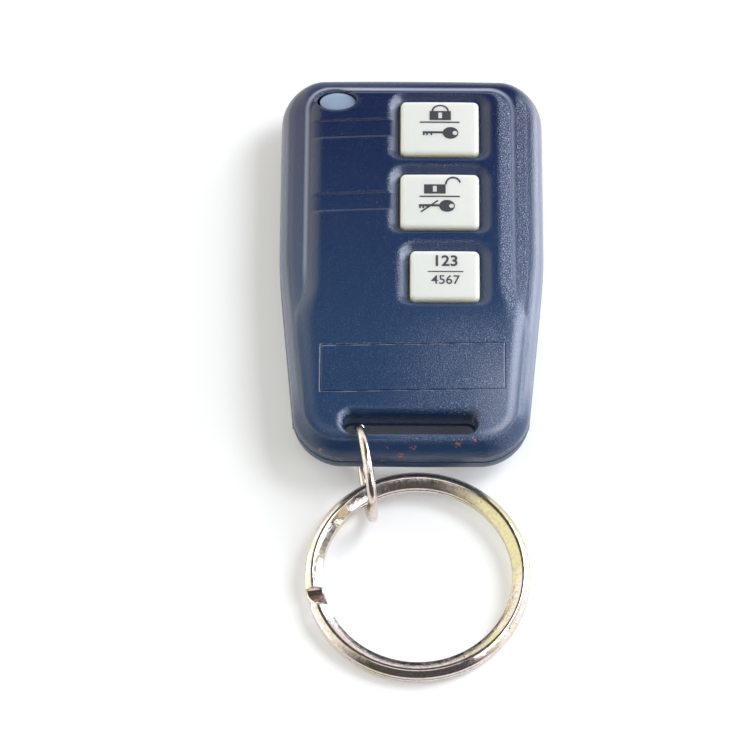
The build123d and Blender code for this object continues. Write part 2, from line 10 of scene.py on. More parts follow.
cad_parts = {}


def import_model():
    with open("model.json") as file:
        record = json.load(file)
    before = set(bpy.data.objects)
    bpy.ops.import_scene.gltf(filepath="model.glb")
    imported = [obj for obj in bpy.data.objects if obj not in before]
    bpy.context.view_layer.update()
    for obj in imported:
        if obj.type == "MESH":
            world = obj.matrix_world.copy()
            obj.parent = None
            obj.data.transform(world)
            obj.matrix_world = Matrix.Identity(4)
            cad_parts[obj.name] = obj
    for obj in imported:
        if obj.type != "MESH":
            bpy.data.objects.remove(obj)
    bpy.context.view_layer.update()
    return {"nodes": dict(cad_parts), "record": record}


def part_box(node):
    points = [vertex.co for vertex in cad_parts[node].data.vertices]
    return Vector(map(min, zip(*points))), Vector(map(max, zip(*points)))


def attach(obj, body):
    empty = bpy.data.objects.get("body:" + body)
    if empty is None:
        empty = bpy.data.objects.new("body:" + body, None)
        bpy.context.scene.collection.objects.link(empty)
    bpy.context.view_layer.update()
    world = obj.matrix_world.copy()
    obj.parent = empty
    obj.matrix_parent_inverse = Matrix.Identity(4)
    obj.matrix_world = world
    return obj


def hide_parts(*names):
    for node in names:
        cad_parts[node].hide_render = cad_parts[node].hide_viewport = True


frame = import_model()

MM = 0.001

# Outline of the casing in millimetres: parallel sides that taper towards the slot end
HALF_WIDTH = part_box("front_casing")[1][0] / MM
TOP_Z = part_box("front_casing")[1][2] / MM
END_BOW = 0.25
END_BOW_POWER = 10
FAR_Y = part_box("front_casing")[1][1] / MM - END_BOW
NEAR_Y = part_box("front_casing")[0][1] / MM + END_BOW
CORNER_R = 6.0
TAPER = 0.0925
WAIST_SOFTNESS = 0.7
PARTING_Z = 6.5
PARTING_CHAMFER = 0.12
CROWN_START_Y = -8.0
CROWN_R = 307.4

# Rim between the raised middle and the sides: it slopes outward and ends in a rounded shoulder
RIM_WIDTH = 4.2
RIM_FAR_WIDTH = 0.5
RIM_FAR_RISE = 0.25
RIM_NEAR_WIDTH = 1.6
RIM_TOP_Z = 9.75
RIM_TOP_SOFTNESS = 0.3
RIM_SLOPE = 0.235
RIM_SLOPE_SOFTNESS = 0.6
SHOULDER_R = 1.9
SHOULDER_SOFTNESS = 0.1

# Raised middle of the face and its flare towards the slot. MIDDLE_FALL is its surface's slope
# beyond the foot, where the rim covers it.
MIDDLE_X = -0.3
MIDDLE_HALF = 13.9
MIDDLE_TOP_Y = 26.85
MIDDLE_CORNER_R = 3.0
MIDDLE_STEP_WIDTH = 2.2
MIDDLE_FAR_STEP_WIDTH = 0.8
MIDDLE_NEAR_STEP_WIDTH = 3.4
MIDDLE_STEP_POWER = 2.1
MIDDLE_FALL = 1.5
LEDGE_Z = 9.6
LEDGE_SINK = 0.08
FLARE_START_Y = -4.0
FLARE_END_Y = -13.0
FLARE_REACH = 2.6
FLARE_EDGE = 1.5
FLARE_SOFTNESS = 1.2
FOOT_SOFTNESS = 0.12
FOOT_NEAR_SOFTNESS = 0.9

# Smooth line just outside the foot of the raised middle. It comes in over VALLEY_Y and ends
# where the window's dish begins.
VALLEY_PLACE = 0.36
VALLEY_HALF = 0.52
VALLEY_FAR_NARROWING = 0.2
VALLEY_DEPTH = 0.02
VALLEY_Y = (-9.0, 0.0)
VALLEY_DISH_DROP = 0.06

# Cord slot
SLOT_X = -0.2
SLOT_HALF_LENGTH = 8.95
SLOT_FAR_Y = -24.4
SLOT_NEAR_Y = -27.35
SLOT_CORNER_R = 1.2
SLOT_MOUTH_R = 0.65
SLOT_FAR_MOUTH_R = 1.05
SLOT_STEP = 0.2

# Caps: centre x, centre y, width, depth
CAPS = {
    "lock": (3.82, 20.45, 10.8, 8.7),
    "unlock": (3.82, 8.55, 10.8, 8.7),
    "channel": (4.50, -3.35, 9.44, 7.8),
}
CAP_TOP_Z = 10.85
CAP_CORNER_R = 0.8
CAP_EDGE_R = 0.55
CAP_CROWN = 0.13
CAP_GAP = 0.2
FLANGE_REACH = 0.7
FLANGE_TOP_Z = 8.9
FLANGE_BOTTOM_Z = 8.1

# Dished wells round the caps: their width at each side, and how much shallower the near end is
RECESS_SIDE = 1.65
RECESS_FAR = 1.75
RECESS_NEAR = 0.55
RECESS_DEPTH = 0.7
RECESS_NEAR_RISE = 0.3

# Indicator window in its oval dish, and the lens with its crown in two insets (width, rise)
WINDOW = (-10.45, 25.15)
WINDOW_HALF = (2.75, 1.6)
DISH = (-10.65, 25.3)
DISH_HALF = (3.3, 2.05)
DISH_DEPTH = 0.4
DISH_FADE = 0.3
LENS = (-10.28, 25.15)
LENS_HALF = (2.5, 1.5)
LENS_TOP_Z = 9.75
LENS_INSETS = ((0.12, 0.08), (0.7, 0.06))
LENS_STEM_R = 1.3

# Bands across the left of the middle, which rise a little to the right
BAND_YS = (20.5, 8.6)
BAND_MIDDLE_X = -7.0
BAND_HALF = 1.4
BAND_DEPTH = 0.2
BAND_LEFT_X = -14.2
BAND_FADE = 1.8
BAND_SOFTNESS = 0.4
BAND_RISE = 0.044

# Bare incised frame above the slot
FRAME_LEFT, FRAME_RIGHT = -12.2, 12.6
FRAME_LOW, FRAME_HIGH = -21.1, -14.05
FRAME_RISE = 0.02
FRAME_LINE = 0.3
FRAME_DEPTH = 0.15

# Inside of the casings, and how far the cutters reach
CEILING_Z = 8.9
FLOOR_Z = 1.3
WALL = 1.3
CUT_LOW_Z = -2.0
CUT_TOP_Z = 2 * TOP_Z

# Rear casing
BACK_EDGE_R = 2.2
RAMP_START_Y = -19.5
RAMP_END_Y = -23.4
RAMP_SOFTNESS = 0.35
BAR_BOTTOM_Z = 3.4
BAR_OUTER_R = 2.4
BAR_SOFTNESS = 0.4
REAR_SIDE_LEAST = 0.5
REAR_PROUD = 0.05
SCREW_XS = (-11.6, 11.6)
SCREW_Y = -15.6
SCREW_RECESS_R = 1.95
SCREW_RECESS_DEPTH = 1.5

# Grids of the pieces. Inside STRAIGHT_X a casing's lines run straight, and beyond it they follow
# the outline, with at least BORDER_LEAST left for them.
FRONT_STEP = 0.36
REAR_STEP = 0.7
HOLLOW_STEP = 0.8
CAP_STEP = 0.3
STRAIGHT_X = 13.2
BORDER_LEAST = 2.2

# Painted highlights and reflections of the lamps on the front casing, 0 to 1 for pale. A pair of
# strengths is (left, right). Any other pair says where a painted highlight begins and where it is
# full: in x, y, distance inward, drop or the normal's lean.
HIGHLIGHT_RIGHT_X = (-6.0, 6.0)
LINE_HIGHLIGHT = (0.5, 0.3)
LINE_FAR_HIGHLIGHT = (1.0, 0.9)
OUTER_HIGHLIGHT = (0.28, 0.4)
OUTER_HIGHLIGHT_FAR_SHARE = 0.2
OUTER_HIGHLIGHT_INWARD = (1.2, 0.6)
OUTER_HIGHLIGHT_Y = (-26.0, -18.0)
FLANK_HIGHLIGHT = (0.06, 0.6)
FLANK_HIGHLIGHT_X = (8.0, 13.0)
FLANK_INWARD = 2.5
FLANK_REACH = 1.1
LEDGE_REFLECTION = 0.08
LEDGE_REFLECTION_INWARD = (1.0, 1.5)
LEDGE_REFLECTION_FOOT = (0.0, -0.3)
CORNER_HIGHLIGHT = 0.22
CORNER_HIGHLIGHT_X = (6.0, 14.0)
CORNER_HIGHLIGHT_Y = (-13.0, -21.0)
CORNER_HIGHLIGHT_INWARD = (2.0, 2.6)
WELL_HIGHLIGHT = 0.05
WELL_HIGHLIGHT_DROP = (0.0, 0.1)
SLOT_HIGHLIGHT = 0.3
SLOT_HIGHLIGHT_REACH = 1.0
SLOPE_LEAN = (0.12, 0.32)
WALL_HIGHLIGHT = 0.28
WALL_LEAN = (0.35, 0.6)
TRIM_HIGHLIGHT = 0.4
TRIM_HIGHLIGHT_DROP = 0.004
TRIM_LEAN = (0.08, 0.28)

# Coarse grain of the front casing and the glints of light painted on it, from 0 to 1, and the rust
# on its bar, in pairs as above
GLINT_LEAN = (0.04, 0.34)
GLINT_NEAR_SHARE = 0.4
GLINT_NEAR_END_Y = -20.0
GLINT_INWARD = (1.9, 2.4)
GLINT_WELL_DROP = (0.0, 0.3)
GLOW = 0.6
GLOW_X = (-6.0, 12.0)
GLOW_Y = (-6.0, -16.0)
GLOW_END_Y = (-31.0, -29.0)
BAR_GLINT = 0.3
BAR_GLINT_X = (-6.0, 0.0)
BAR_GLINT_Y = (-27.0, -27.6)
BAR_GLINT_END_Y = (-29.3, -28.5)
RUST_Y = (-27.4, -27.8)
RUST_END_Y = (-30.4, -30.0)

# Jump ring
HOOP_CENTRE = Vector((-6.0, -31.95, 6.65))
HOOP_HEADING = 10.0
HOOP_WIRE_R = 0.625
HOOP_MEAN_R = 6.025
HOOP_CUT = 8.0
HOOP_CUT_AT = 28.0
HOOP_OFFSET = 0.22
HOOP_END_R = 0.12
HOOP_STEPS = 120

# Split ring. RING_CREST is its crest's width with rounded edges, RING_CREST_HALF half of it
# before they are rounded.
RING_CENTRE = (0.93, -44.95)
RING_OUTER_R = 15.0
RING_WIDTH = 2.4
RING_HEIGHT = 2.7
RING_EDGE_Z = 0.7
RING_CREST = 0.4
RING_CREST_HALF = 0.168
RING_CREST_OUT = 0.25
RING_GROOVE = 0.15
RING_ROUND = 0.12
RING_LIFT = 1.55
RING_STEP_AT = 190.5
RING_STEP_SWEEP = 10.0
RING_END_GAP = 1.5
RING_TURN_STEPS = 120
RING_RAMP_STEPS = 8

# Marks on the caps. The bridges close a padlock's keyhole above and below (up, width, height).
MARK_HEIGHT = 0.02
MARK_LINE = (5.5, 0.21)
PADLOCK_SIZE = (2.95, 1.5)
KEYHOLE_HALF = 0.27
PADLOCK_BRIDGES = ((0.63, 1.18, 0.24), (-0.6, 1.475, 0.3))
KEY_HEAD_X = 1.95
KEY_TEETH_X = (-1.75, -1.3, -0.7)

# From a cap's centre: the padlock's place, the line's height and the key's place
KEY_MARKS = {
    "lock": ((0.08, 1.87), 0.77, (-0.45, -0.98)),
    "unlock": ((-0.67, 1.75), 0.55, (-0.95, -0.98)),
}
# Two numbers (text, height above the centre, size, weight), and the line between them
NUMBERS = (("123", 2.04, 2.35, 0.05), ("4567", -0.95, 1.95, 0.01))
NUMBERS_X = 0.1
NUMBERS_LINE_Y = 0.41
NUMBERS_LINE = (4.85, 0.16)

# Room and camera
STAGE_HALF = 1500.0
STAGE_DROP = 0.03
STAGE_WHITE = 0.85
STAGE_GLOW = 0.19
WORLD_LEAST = 0.1
LAMPS_AIM = Vector((0, -10, 5))
CAMERA_PLACE = Vector((-3.0, -326.651, 543.330))
CAMERA_TARGET = Vector((-4.897, -16.140, 5.5))
CAMERA_LENS = 220.3

# Lamps: direction from the object, distance, size, white that it gives, colour
LAMPS = {
    "key_high": ((0.55, 0.12, 0.83), 450, 200, 0.46, (0.91, 0.97, 1.04)),
    "side_right": ((0.80, 0.48, 0.32), 450, 240, 0.15, (0.85, 0.94, 1.08)),
    "overhead": ((-0.02, -0.28, 0.96), 440, 220, 0.1, (1, 1, 1)),
    "near_right": ((0.70, -0.45, 0.55), 450, 200, 0.11, (0.95, 0.98, 1.04)),
    "low_right": ((0.86, 0.47, 0.12), 450, 200, 0.025, (1, 1, 1)),
}

# Finishes of the parts inside: two colours that it wavers between, roughness, metallic
INNER = {
    "switch_plastic": ((28, 28, 30), (40, 40, 42), 0.5, 0.0),
    "plunger_plastic": ((196, 190, 176), (208, 203, 190), 0.45, 0.0),
    "led_resin": ((222, 220, 200), (232, 230, 214), 0.2, 0.0),
    "board_laminate": ((22, 92, 48), (30, 106, 56), 0.4, 0.0),
    "cell_steel": ((190, 190, 190), (206, 206, 204), 0.3, 1.0),
    "contact_steel": ((206, 200, 182), (216, 212, 198), 0.28, 1.0),
    "chip_resin": ((30, 30, 32), (40, 40, 43), 0.55, 0.0),
    "can_metal": ((200, 200, 200), (214, 214, 212), 0.3, 1.0),
    "capacitor_ceramic": ((150, 116, 82), (166, 130, 94), 0.5, 0.0),
    "resistor_ceramic": ((34, 34, 38), (46, 46, 50), 0.45, 0.0),
    "tinned_wire": ((196, 192, 182), (214, 210, 200), 0.3, 1.0),
    "screw_steel": ((150, 150, 152), (172, 172, 172), 0.35, 1.0),
}


# Small helpers

def ease(t):
    """A smooth step from 0 to 1."""
    t = min(1.0, max(0.0, t))
    return t * t * (3 - 2 * t)


def fade(value, start, full):
    """A smooth step: 0 where the value is at the start, 1 where it is full."""
    return ease((value - start) / (full - start))


def mix(first, second, share):
    return first + (second - first) * share


def soft_max(a, b, reach):
    lap = max(0.0, reach - abs(a - b)) / reach
    return max(a, b) + lap * lap * reach / 4


def soft_min(a, b, reach):
    return -soft_max(-a, -b, reach)


def fillet_drop(distance, radius):
    """How far a rounded edge lies under the face, at a distance inward from that edge."""
    off = radius - min(radius, max(0.0, distance))
    return radius - math.sqrt(radius**2 - off**2)


def inside(across, along, radius):
    """Distance inward from a rounded corner, from the distances to its two sides, and 0 to 1 for
    how much it is measured to the second side."""
    a = max(0.0, radius - across)
    b = max(0.0, radius - along)
    reach = math.hypot(a, b)
    if not reach:
        return min(across, along), 0.0
    return radius - reach, b * b / (a * a + b * b)


def spaced(low, high, step, peaks):
    """Line places from low to high. Near each peak (place, reach, step, growth) they are closer."""
    lines = [low]
    while True:
        here = lines[-1]
        near = step
        for place, reach, fine, growth in peaks:
            near = min(near, fine + growth * max(0.0, abs(here - place) - reach))
        if here + 1.5 * near >= high:
            return lines + [high]
        lines.append(here + near)


# Form of the casings

def side(y):
    """Half of the casing's width, before its corners are rounded."""
    below = (math.hypot(y, 2 * WAIST_SOFTNESS) - y) / 2
    return HALF_WIDTH - TAPER * below


def end_distance(y):
    """Distance inward from the nearer end of the casing."""
    return min(FAR_Y - y, y - NEAR_Y)


def half_width(y):
    return side(y) - fillet_drop(end_distance(y), CORNER_R)


def bow(x, y):
    """The slight outward curve of the two ends."""
    share = (y / FAR_Y if y > 0 else y / NEAR_Y) ** END_BOW_POWER
    return math.copysign(END_BOW * (1 - (x / HALF_WIDTH) ** 2) * share, y)


def edge(x, y):
    """Distance inward from the outline, and 0 to 1 for how much it is measured to an end."""
    distance, end = inside(side(y) - abs(x), end_distance(y), CORNER_R)
    return max(0.0, distance), end


def face_z(y):
    """The face, which falls away gently towards the slot end."""
    fall = max(0.0, CROWN_START_Y - y)
    return TOP_Z - CROWN_R + math.sqrt(CROWN_R**2 - fall**2)


def near_share(y):
    """0 along the parallel sides, 1 near the slot end."""
    return fade(y, FLARE_START_Y, FLARE_END_Y)


def rim_z(x, y):
    distance, end = edge(x, y)
    width = mix(RIM_WIDTH, RIM_NEAR_WIDTH, near_share(y))
    top = soft_min(RIM_TOP_Z, face_z(y) - LEDGE_SINK, RIM_TOP_SOFTNESS)
    if y > 0:
        width += (RIM_FAR_WIDTH - RIM_WIDTH) * end
        top += RIM_FAR_RISE * end
    slope = RIM_SLOPE * soft_max(width - distance, 0.0, RIM_SLOPE_SOFTNESS)
    return top - slope - fillet_drop(distance, SHOULDER_R)


def middle_inside(x, y):
    """Distance inward from the foot of the raised middle, and 0 to 1 for how much it is measured
    to the far end."""
    across = MIDDLE_HALF + FLARE_REACH * near_share(y) - abs(x - MIDDLE_X)
    reach, end = inside(across, MIDDLE_TOP_Y - y, MIDDLE_CORNER_R)
    if y < 0:
        reach = soft_min(reach, edge(x, y)[0] - FLARE_EDGE, FLARE_SOFTNESS)
    return reach, end


def middle_z(x, y):
    reach, end = middle_inside(x, y)
    step = max(LEDGE_SINK, face_z(y) - LEDGE_Z)
    if reach < 0:
        return face_z(y) - step + MIDDLE_FALL * reach
    width = mix(MIDDLE_STEP_WIDTH, MIDDLE_FAR_STEP_WIDTH, end)
    width += (MIDDLE_NEAR_STEP_WIDTH - MIDDLE_STEP_WIDTH) * near_share(y)
    return face_z(y) - step * (1 - min(1.0, reach / width)) ** MIDDLE_STEP_POWER


def valley(x, y):
    """1 along the smooth line outside the raised middle's foot, 0 elsewhere."""
    reach, end = middle_inside(x, y)
    off = abs(reach + VALLEY_PLACE) / (VALLEY_HALF * (1 - VALLEY_FAR_NARROWING * end))
    clear = 1 - fade(window_drop(x, y), 0.0, VALLEY_DISH_DROP)
    return fade(y, *VALLEY_Y) * (1 - ease(off)) * clear


def slot_distance(x, y):
    """Distance outward from the slot's opening."""
    half_depth = (SLOT_FAR_Y - SLOT_NEAR_Y) / 2
    middle_y = (SLOT_FAR_Y + SLOT_NEAR_Y) / 2
    across = SLOT_HALF_LENGTH - abs(x - SLOT_X)
    return -inside(across, half_depth - abs(y - middle_y), SLOT_CORNER_R)[0]


def recess_drop(x, y):
    """Depth of the dished wells round the caps."""
    drop = 0.0
    for cap_x, cap_y, width, depth in CAPS.values():
        across = width / 2 + CAP_GAP - abs(x - cap_x)
        along = depth / 2 + CAP_GAP - abs(y - cap_y)
        distance, lengthwise = inside(across, along, CAP_CORNER_R + CAP_GAP)
        end, rise = (RECESS_FAR, 0.0) if y > cap_y else (RECESS_NEAR, RECESS_NEAR_RISE)
        share = -distance / mix(RECESS_SIDE, end, lengthwise)
        drop = max(drop, (RECESS_DEPTH - rise * lengthwise) * (1 - ease(share)))
    return drop


def band_drop(x, y):
    drop = 0.0
    for band_y in BAND_YS:
        level = y - band_y - BAND_RISE * (x - BAND_MIDDLE_X)
        along = (BAND_HALF - abs(level)) / BAND_SOFTNESS + 0.5
        across = (x - BAND_LEFT_X) / BAND_FADE if x < CAPS["lock"][0] else 0.0
        drop = max(drop, BAND_DEPTH * ease(along) * ease(across))
    return drop


def frame_drop(x, y):
    """The incised line of the bare frame above the slot."""
    across = min(x - FRAME_LEFT, FRAME_RIGHT - x)
    level = y - FRAME_RISE * x
    along = min(level - FRAME_LOW, FRAME_HIGH - level)
    off = abs(min(across, along))
    return FRAME_DEPTH * (1 - ease(off / (FRAME_LINE / 2)))


def window_drop(x, y):
    """The shallow oval dish that leads to the window."""
    off = math.hypot((x - DISH[0]) / DISH_HALF[0], (y - DISH[1]) / DISH_HALF[1])
    return DISH_DEPTH * ease((1.0 - off) / DISH_FADE)


def front_z(x, y):
    """Height of the front casing's outside."""
    softness = FOOT_SOFTNESS + FOOT_NEAR_SOFTNESS * near_share(y)
    hill = soft_max(rim_z(x, y), middle_z(x, y), softness)
    hull = face_z(y) - fillet_drop(edge(x, y)[0], SHOULDER_R)
    height = soft_min(hill, hull, SHOULDER_SOFTNESS) - VALLEY_DEPTH * valley(x, y)
    height -= max(recess_drop(x, y), band_drop(x, y))
    mouth_r = mix(SLOT_MOUTH_R, SLOT_FAR_MOUTH_R, fade(y, SLOT_NEAR_Y, SLOT_FAR_Y))
    height -= fillet_drop(slot_distance(x, y), mouth_r)
    return height - frame_drop(x, y) - window_drop(x, y)


def ramp_z(y):
    """The rear casing's underside in its middle: flat, then a ramp up to the bar."""
    run = (RAMP_START_Y - y) / (RAMP_START_Y - RAMP_END_Y)
    return BAR_BOTTOM_Z * soft_min(soft_max(run, 0.0, RAMP_SOFTNESS), 1.0, RAMP_SOFTNESS)


def rear_z(x, y):
    """Height of the rear casing's underside."""
    distance = edge(x, y)[0]
    ramp = ramp_z(y)
    if ramp < BAR_BOTTOM_Z - BAR_SOFTNESS:
        height = soft_max(ramp, fillet_drop(distance, BACK_EDGE_R), BAR_SOFTNESS)
    else:
        height = ramp + fillet_drop(distance, BAR_OUTER_R if y < RAMP_END_Y else BACK_EDGE_R)
    return min(PARTING_Z - REAR_SIDE_LEAST, height)


# Painted highlights and coarse grain of the front casing

def painted_highlight_level(x, y, normal):
    """0 to 1 for how pale the plastic is painted, as highlights and reflections of the lamps: on
    the smooth line round the middle, along the outer edge, on the flank and the corner beside the
    frame, and on slopes that face right."""
    right = fade(x, *HIGHLIGHT_RIGHT_X)
    distance, far = edge(x, y)
    foot, end = middle_inside(x, y)
    line = valley(x, y) * mix(mix(*LINE_HIGHLIGHT, right), mix(*LINE_FAR_HIGHLIGHT, right), end)
    outer = mix(*OUTER_HIGHLIGHT, right) * mix(1.0, OUTER_HIGHLIGHT_FAR_SHARE, far)
    outer *= fade(distance, *OUTER_HIGHLIGHT_INWARD) * fade(y, *OUTER_HIGHLIGHT_Y)
    flank = mix(*FLANK_HIGHLIGHT, fade(x, *FLANK_HIGHLIGHT_X)) * near_share(y)
    flank *= ease(1 - abs(distance - FLANK_INWARD) / FLANK_REACH)
    ledge = LEDGE_REFLECTION * fade(distance, *LEDGE_REFLECTION_INWARD) * fade(foot, *LEDGE_REFLECTION_FOOT) * (1 - right)
    corner = CORNER_HIGHLIGHT * fade(x, *CORNER_HIGHLIGHT_X) * fade(y, *CORNER_HIGHLIGHT_Y)
    corner *= fade(distance, *CORNER_HIGHLIGHT_INWARD)
    well = fade(recess_drop(x, y), *WELL_HIGHLIGHT_DROP)
    slope = SLOT_HIGHLIGHT if slot_distance(x, y) < SLOT_HIGHLIGHT_REACH else WELL_HIGHLIGHT * well
    slope *= fade(normal.x, *SLOPE_LEAN)
    wall = WALL_HIGHLIGHT * well * fade(normal.x - max(normal.y, -normal.x), *WALL_LEAN)
    incised = frame_drop(x, y) > TRIM_HIGHLIGHT_DROP
    trim = TRIM_HIGHLIGHT * fade(max(normal.x, normal.y), *TRIM_LEAN) if incised else 0.0
    return max(line, outer, flank, ledge, corner, slope, wall, trim)


def sparkle(x, y, normal):
    """0 to 1 for how coarse the grain shows and how strongly glints of light are painted on it: on
    slopes that face right or the slot above it, towards the corner right of the slot, and on the bar."""
    facing = normal.x
    if y > GLINT_NEAR_END_Y and not band_drop(x, y):
        facing = max(facing, -GLINT_NEAR_SHARE * normal.y)
    glow = GLOW * fade(x, *GLOW_X) * fade(y, *GLOW_Y) * fade(y, *GLOW_END_Y)
    level = max(fade(facing, *GLINT_LEAN), glow)
    level *= fade(edge(x, y)[0], *GLINT_INWARD) * (1 - fade(recess_drop(x, y), *GLINT_WELL_DROP))
    bar = BAR_GLINT * fade(y, *BAR_GLINT_Y) * fade(y, *BAR_GLINT_END_Y) * fade(x, *BAR_GLINT_X)
    return max(level, bar)


# Mesh tools

def new_verts(made):
    """The points among an operator's results."""
    return [item for item in made["geom"] if isinstance(item, bmesh.types.BMVert)]


def faces_at(verts):
    return list(dict.fromkeys(face for vert in verts for face in vert.link_faces))


def edges_at(verts):
    return list(dict.fromkeys(line for vert in verts for line in vert.link_edges))


def open_edges(bm):
    return [line for line in bm.edges if line.is_boundary]


def sheet(columns, rows, place):
    """A grid whose points are put where place(column, row) says."""
    bm = bmesh.new()
    across, along = len(columns) - 1, len(rows) - 1
    bmesh.ops.create_grid(bm, x_segments=across, y_segments=along, size=1.0)
    for vert in bm.verts:
        column = round((vert.co.x + 1) / 2 * across)
        row = round((vert.co.y + 1) / 2 * along)
        vert.co = place(columns[column], rows[row])
    return bm


def extend(bm, low):
    """Pulls the open rim of a sheet to the height low, and returns the new points."""
    verts = new_verts(bmesh.ops.extrude_edge_only(bm, edges=open_edges(bm)))
    for vert in verts:
        vert.co.z = low
    return verts


def close(bm):
    bmesh.ops.contextual_create(bm, geom=open_edges(bm))


def draw_in(verts, amount, centre=(0.0, 0.0), half=(HALF_WIDTH, FAR_Y)):
    """Moves points of an outline inward, towards its centre."""
    for vert in verts:
        vert.co.x -= amount * (vert.co.x - centre[0]) / half[0]
        vert.co.y -= amount * (vert.co.y - centre[1]) / half[1]


def raise_faces(bm, faces, height):
    verts = new_verts(bmesh.ops.extrude_face_region(bm, geom=faces))
    bmesh.ops.translate(bm, verts=verts, vec=(0, 0, height))


def rounded_prism(bm, centre, size, radius, low, high):
    """An upright block with rounded corners, from four points."""
    x, y = centre
    width, depth = size
    corners = [(-1, -1), (1, -1), (1, 1), (-1, 1)]
    verts = [bm.verts.new((x + a * width / 2, y + b * depth / 2, low)) for a, b in corners]
    bm.faces.new(verts)
    made = bmesh.ops.bevel(
        bm, geom=verts, offset=radius, offset_type="OFFSET", segments=8, profile=0.5,
        affect="VERTICES", material=-1,
    )
    raise_faces(bm, faces_at(made["verts"]), high - low)


def drum(bm, centre, half, low, high, segments):
    """An upright round or oval block."""
    made = bmesh.ops.create_circle(bm, cap_ends=True, radius=1.0, segments=segments)
    place = Matrix.Translation((*centre, low)) @ Matrix.Diagonal((*half, 1, 1))
    bmesh.ops.transform(bm, matrix=place, verts=made["verts"])
    raise_faces(bm, faces_at(made["verts"]), high - low)


def to_object(bm, name):
    """Ends a bmesh in millimetres as an object in metres."""
    bmesh.ops.recalc_face_normals(bm, faces=bm.faces)
    bmesh.ops.scale(bm, vec=(MM, MM, MM), verts=bm.verts)
    mesh = bpy.data.meshes.new(name)
    bm.to_mesh(mesh)
    bm.free()
    piece = bpy.data.objects.new(name, mesh)
    bpy.context.collection.objects.link(piece)
    return piece


def bake(piece):
    """Applies a piece's modifiers."""
    depsgraph = bpy.context.evaluated_depsgraph_get()
    piece.data = bpy.data.meshes.new_from_object(piece.evaluated_get(depsgraph))
    piece.modifiers.clear()


def cut(piece, cutter_bm):
    cutter = to_object(cutter_bm, "cutter")
    modifier = piece.modifiers.new("cut", "BOOLEAN")
    modifier.operation = "DIFFERENCE"
    modifier.solver = "EXACT"
    modifier.object = cutter
    bake(piece)
    bpy.data.objects.remove(cutter)


def smooth(piece, angle):
    """Smooth shading, broken at edges sharper than the angle."""
    bm = bmesh.new()
    bm.from_mesh(piece.data)
    for face in bm.faces:
        face.smooth = True
    for line in bm.edges:
        line.smooth = line.calc_face_angle(0.0) < math.radians(angle)
    bm.to_mesh(piece.data)
    bm.free()


def settle(piece, body, slot, surface, *nodes):
    """Gives a piece its body and material, and hides the nodes that it stands for. The record slot is not
    used.
    """
    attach(piece, body)
    if nodes:
        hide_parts(*nodes)
    piece.data.materials.clear()
    piece.data.materials.append(surface)


# Casings

def front_lines():
    """Grid lines of the front casing, closer at the outline, the foot, the slot, frame and bands."""
    outline = (0.0, 0.015, 0.13)
    foot_x, foot_y = (1.0, 0.12, 0.2), (0.8, 0.1, 0.2)
    frame_x, frame_y = (0.14, 0.06, 0.5), (0.3, 0.07, 0.5)
    band = (0.3, 0.08, 0.5)
    far_mouth = (SLOT_FAR_Y + 0.6, 0.8, 0.08, 0.2)
    near_mouth = (SLOT_NEAR_Y - 0.7, 0.9, 0.08, 0.2)
    columns = spaced(-HALF_WIDTH, HALF_WIDTH, FRONT_STEP, [
        (-HALF_WIDTH, *outline), (HALF_WIDTH, *outline),
        (MIDDLE_X - MIDDLE_HALF, *foot_x), (MIDDLE_X + MIDDLE_HALF, *foot_x),
        (FRAME_LEFT, *frame_x), (FRAME_RIGHT, *frame_x),
    ])
    rows = spaced(NEAR_Y, FAR_Y, FRONT_STEP, [
        (NEAR_Y, *outline), (FAR_Y, *outline), (MIDDLE_TOP_Y, *foot_y), far_mouth, near_mouth,
        (FRAME_LOW, *frame_y), (FRAME_HIGH, *frame_y),
        *[(y + sign * BAND_HALF, *band) for y in BAND_YS for sign in (-1, 1)],
    ])
    return columns, rows


def rear_lines():
    """Grid lines of the rear casing, closer at the outline and the ramp."""
    outline, ramp = (0.0, 0.03, 0.2), (0.8, 0.2, 0.2)
    columns = spaced(-HALF_WIDTH, HALF_WIDTH, REAR_STEP, [(-HALF_WIDTH, *outline), (HALF_WIDTH, *outline)])
    rows = spaced(NEAR_Y, FAR_Y, REAR_STEP, [
        (NEAR_Y, *outline), (FAR_Y, *outline), (RAMP_START_Y, *ramp), (RAMP_END_Y, *ramp),
    ])
    return columns, rows


def casing_place(height, proud=0.0):
    """Puts a grid point on the casing: inner lines stay straight, outer ones follow the outline."""
    def place(column, y):
        width = half_width(y) + proud
        straight = min(STRAIGHT_X, STRAIGHT_X * width / (STRAIGHT_X + BORDER_LEAST))
        off = abs(column)
        if off <= STRAIGHT_X:
            x = off * straight / STRAIGHT_X
        else:
            x = straight + (off - STRAIGHT_X) / (HALF_WIDTH - STRAIGHT_X) * (width - straight)
        x = math.copysign(x, column)
        return Vector((x, y + bow(x, y) + proud * y / FAR_Y, height(x, y)))
    return place


def cavity(bm, height, end_z):
    """The hollow between the height at each y and a flat end at end_z. It keeps the wall's
    thickness from the outline and ends before the slot."""
    far_y = FAR_Y - WALL
    rows = spaced(SLOT_FAR_Y + WALL, far_y, HOLLOW_STEP, [(far_y, 0.0, 0.05, 0.3)])

    def place(share, y):
        width = side(y) - WALL - fillet_drop(far_y - y, CORNER_R - WALL)
        return Vector((share * width, y, height(y)))
    hollow = sheet([-1.0, 0.0, 1.0], rows, place)
    extend(hollow, end_z)
    close(hollow)
    mesh = bpy.data.meshes.new("hollow")
    hollow.to_mesh(mesh)
    hollow.free()
    bm.from_mesh(mesh)
    bpy.data.meshes.remove(mesh)


def slot_prism(bm, step=0.0):
    depth = SLOT_FAR_Y - SLOT_NEAR_Y - step
    centre = (SLOT_X, SLOT_NEAR_Y + depth / 2)
    size = (2 * SLOT_HALF_LENGTH - 2 * step, depth)
    rounded_prism(bm, centre, size, SLOT_CORNER_R, CUT_LOW_Z, CUT_TOP_Z)


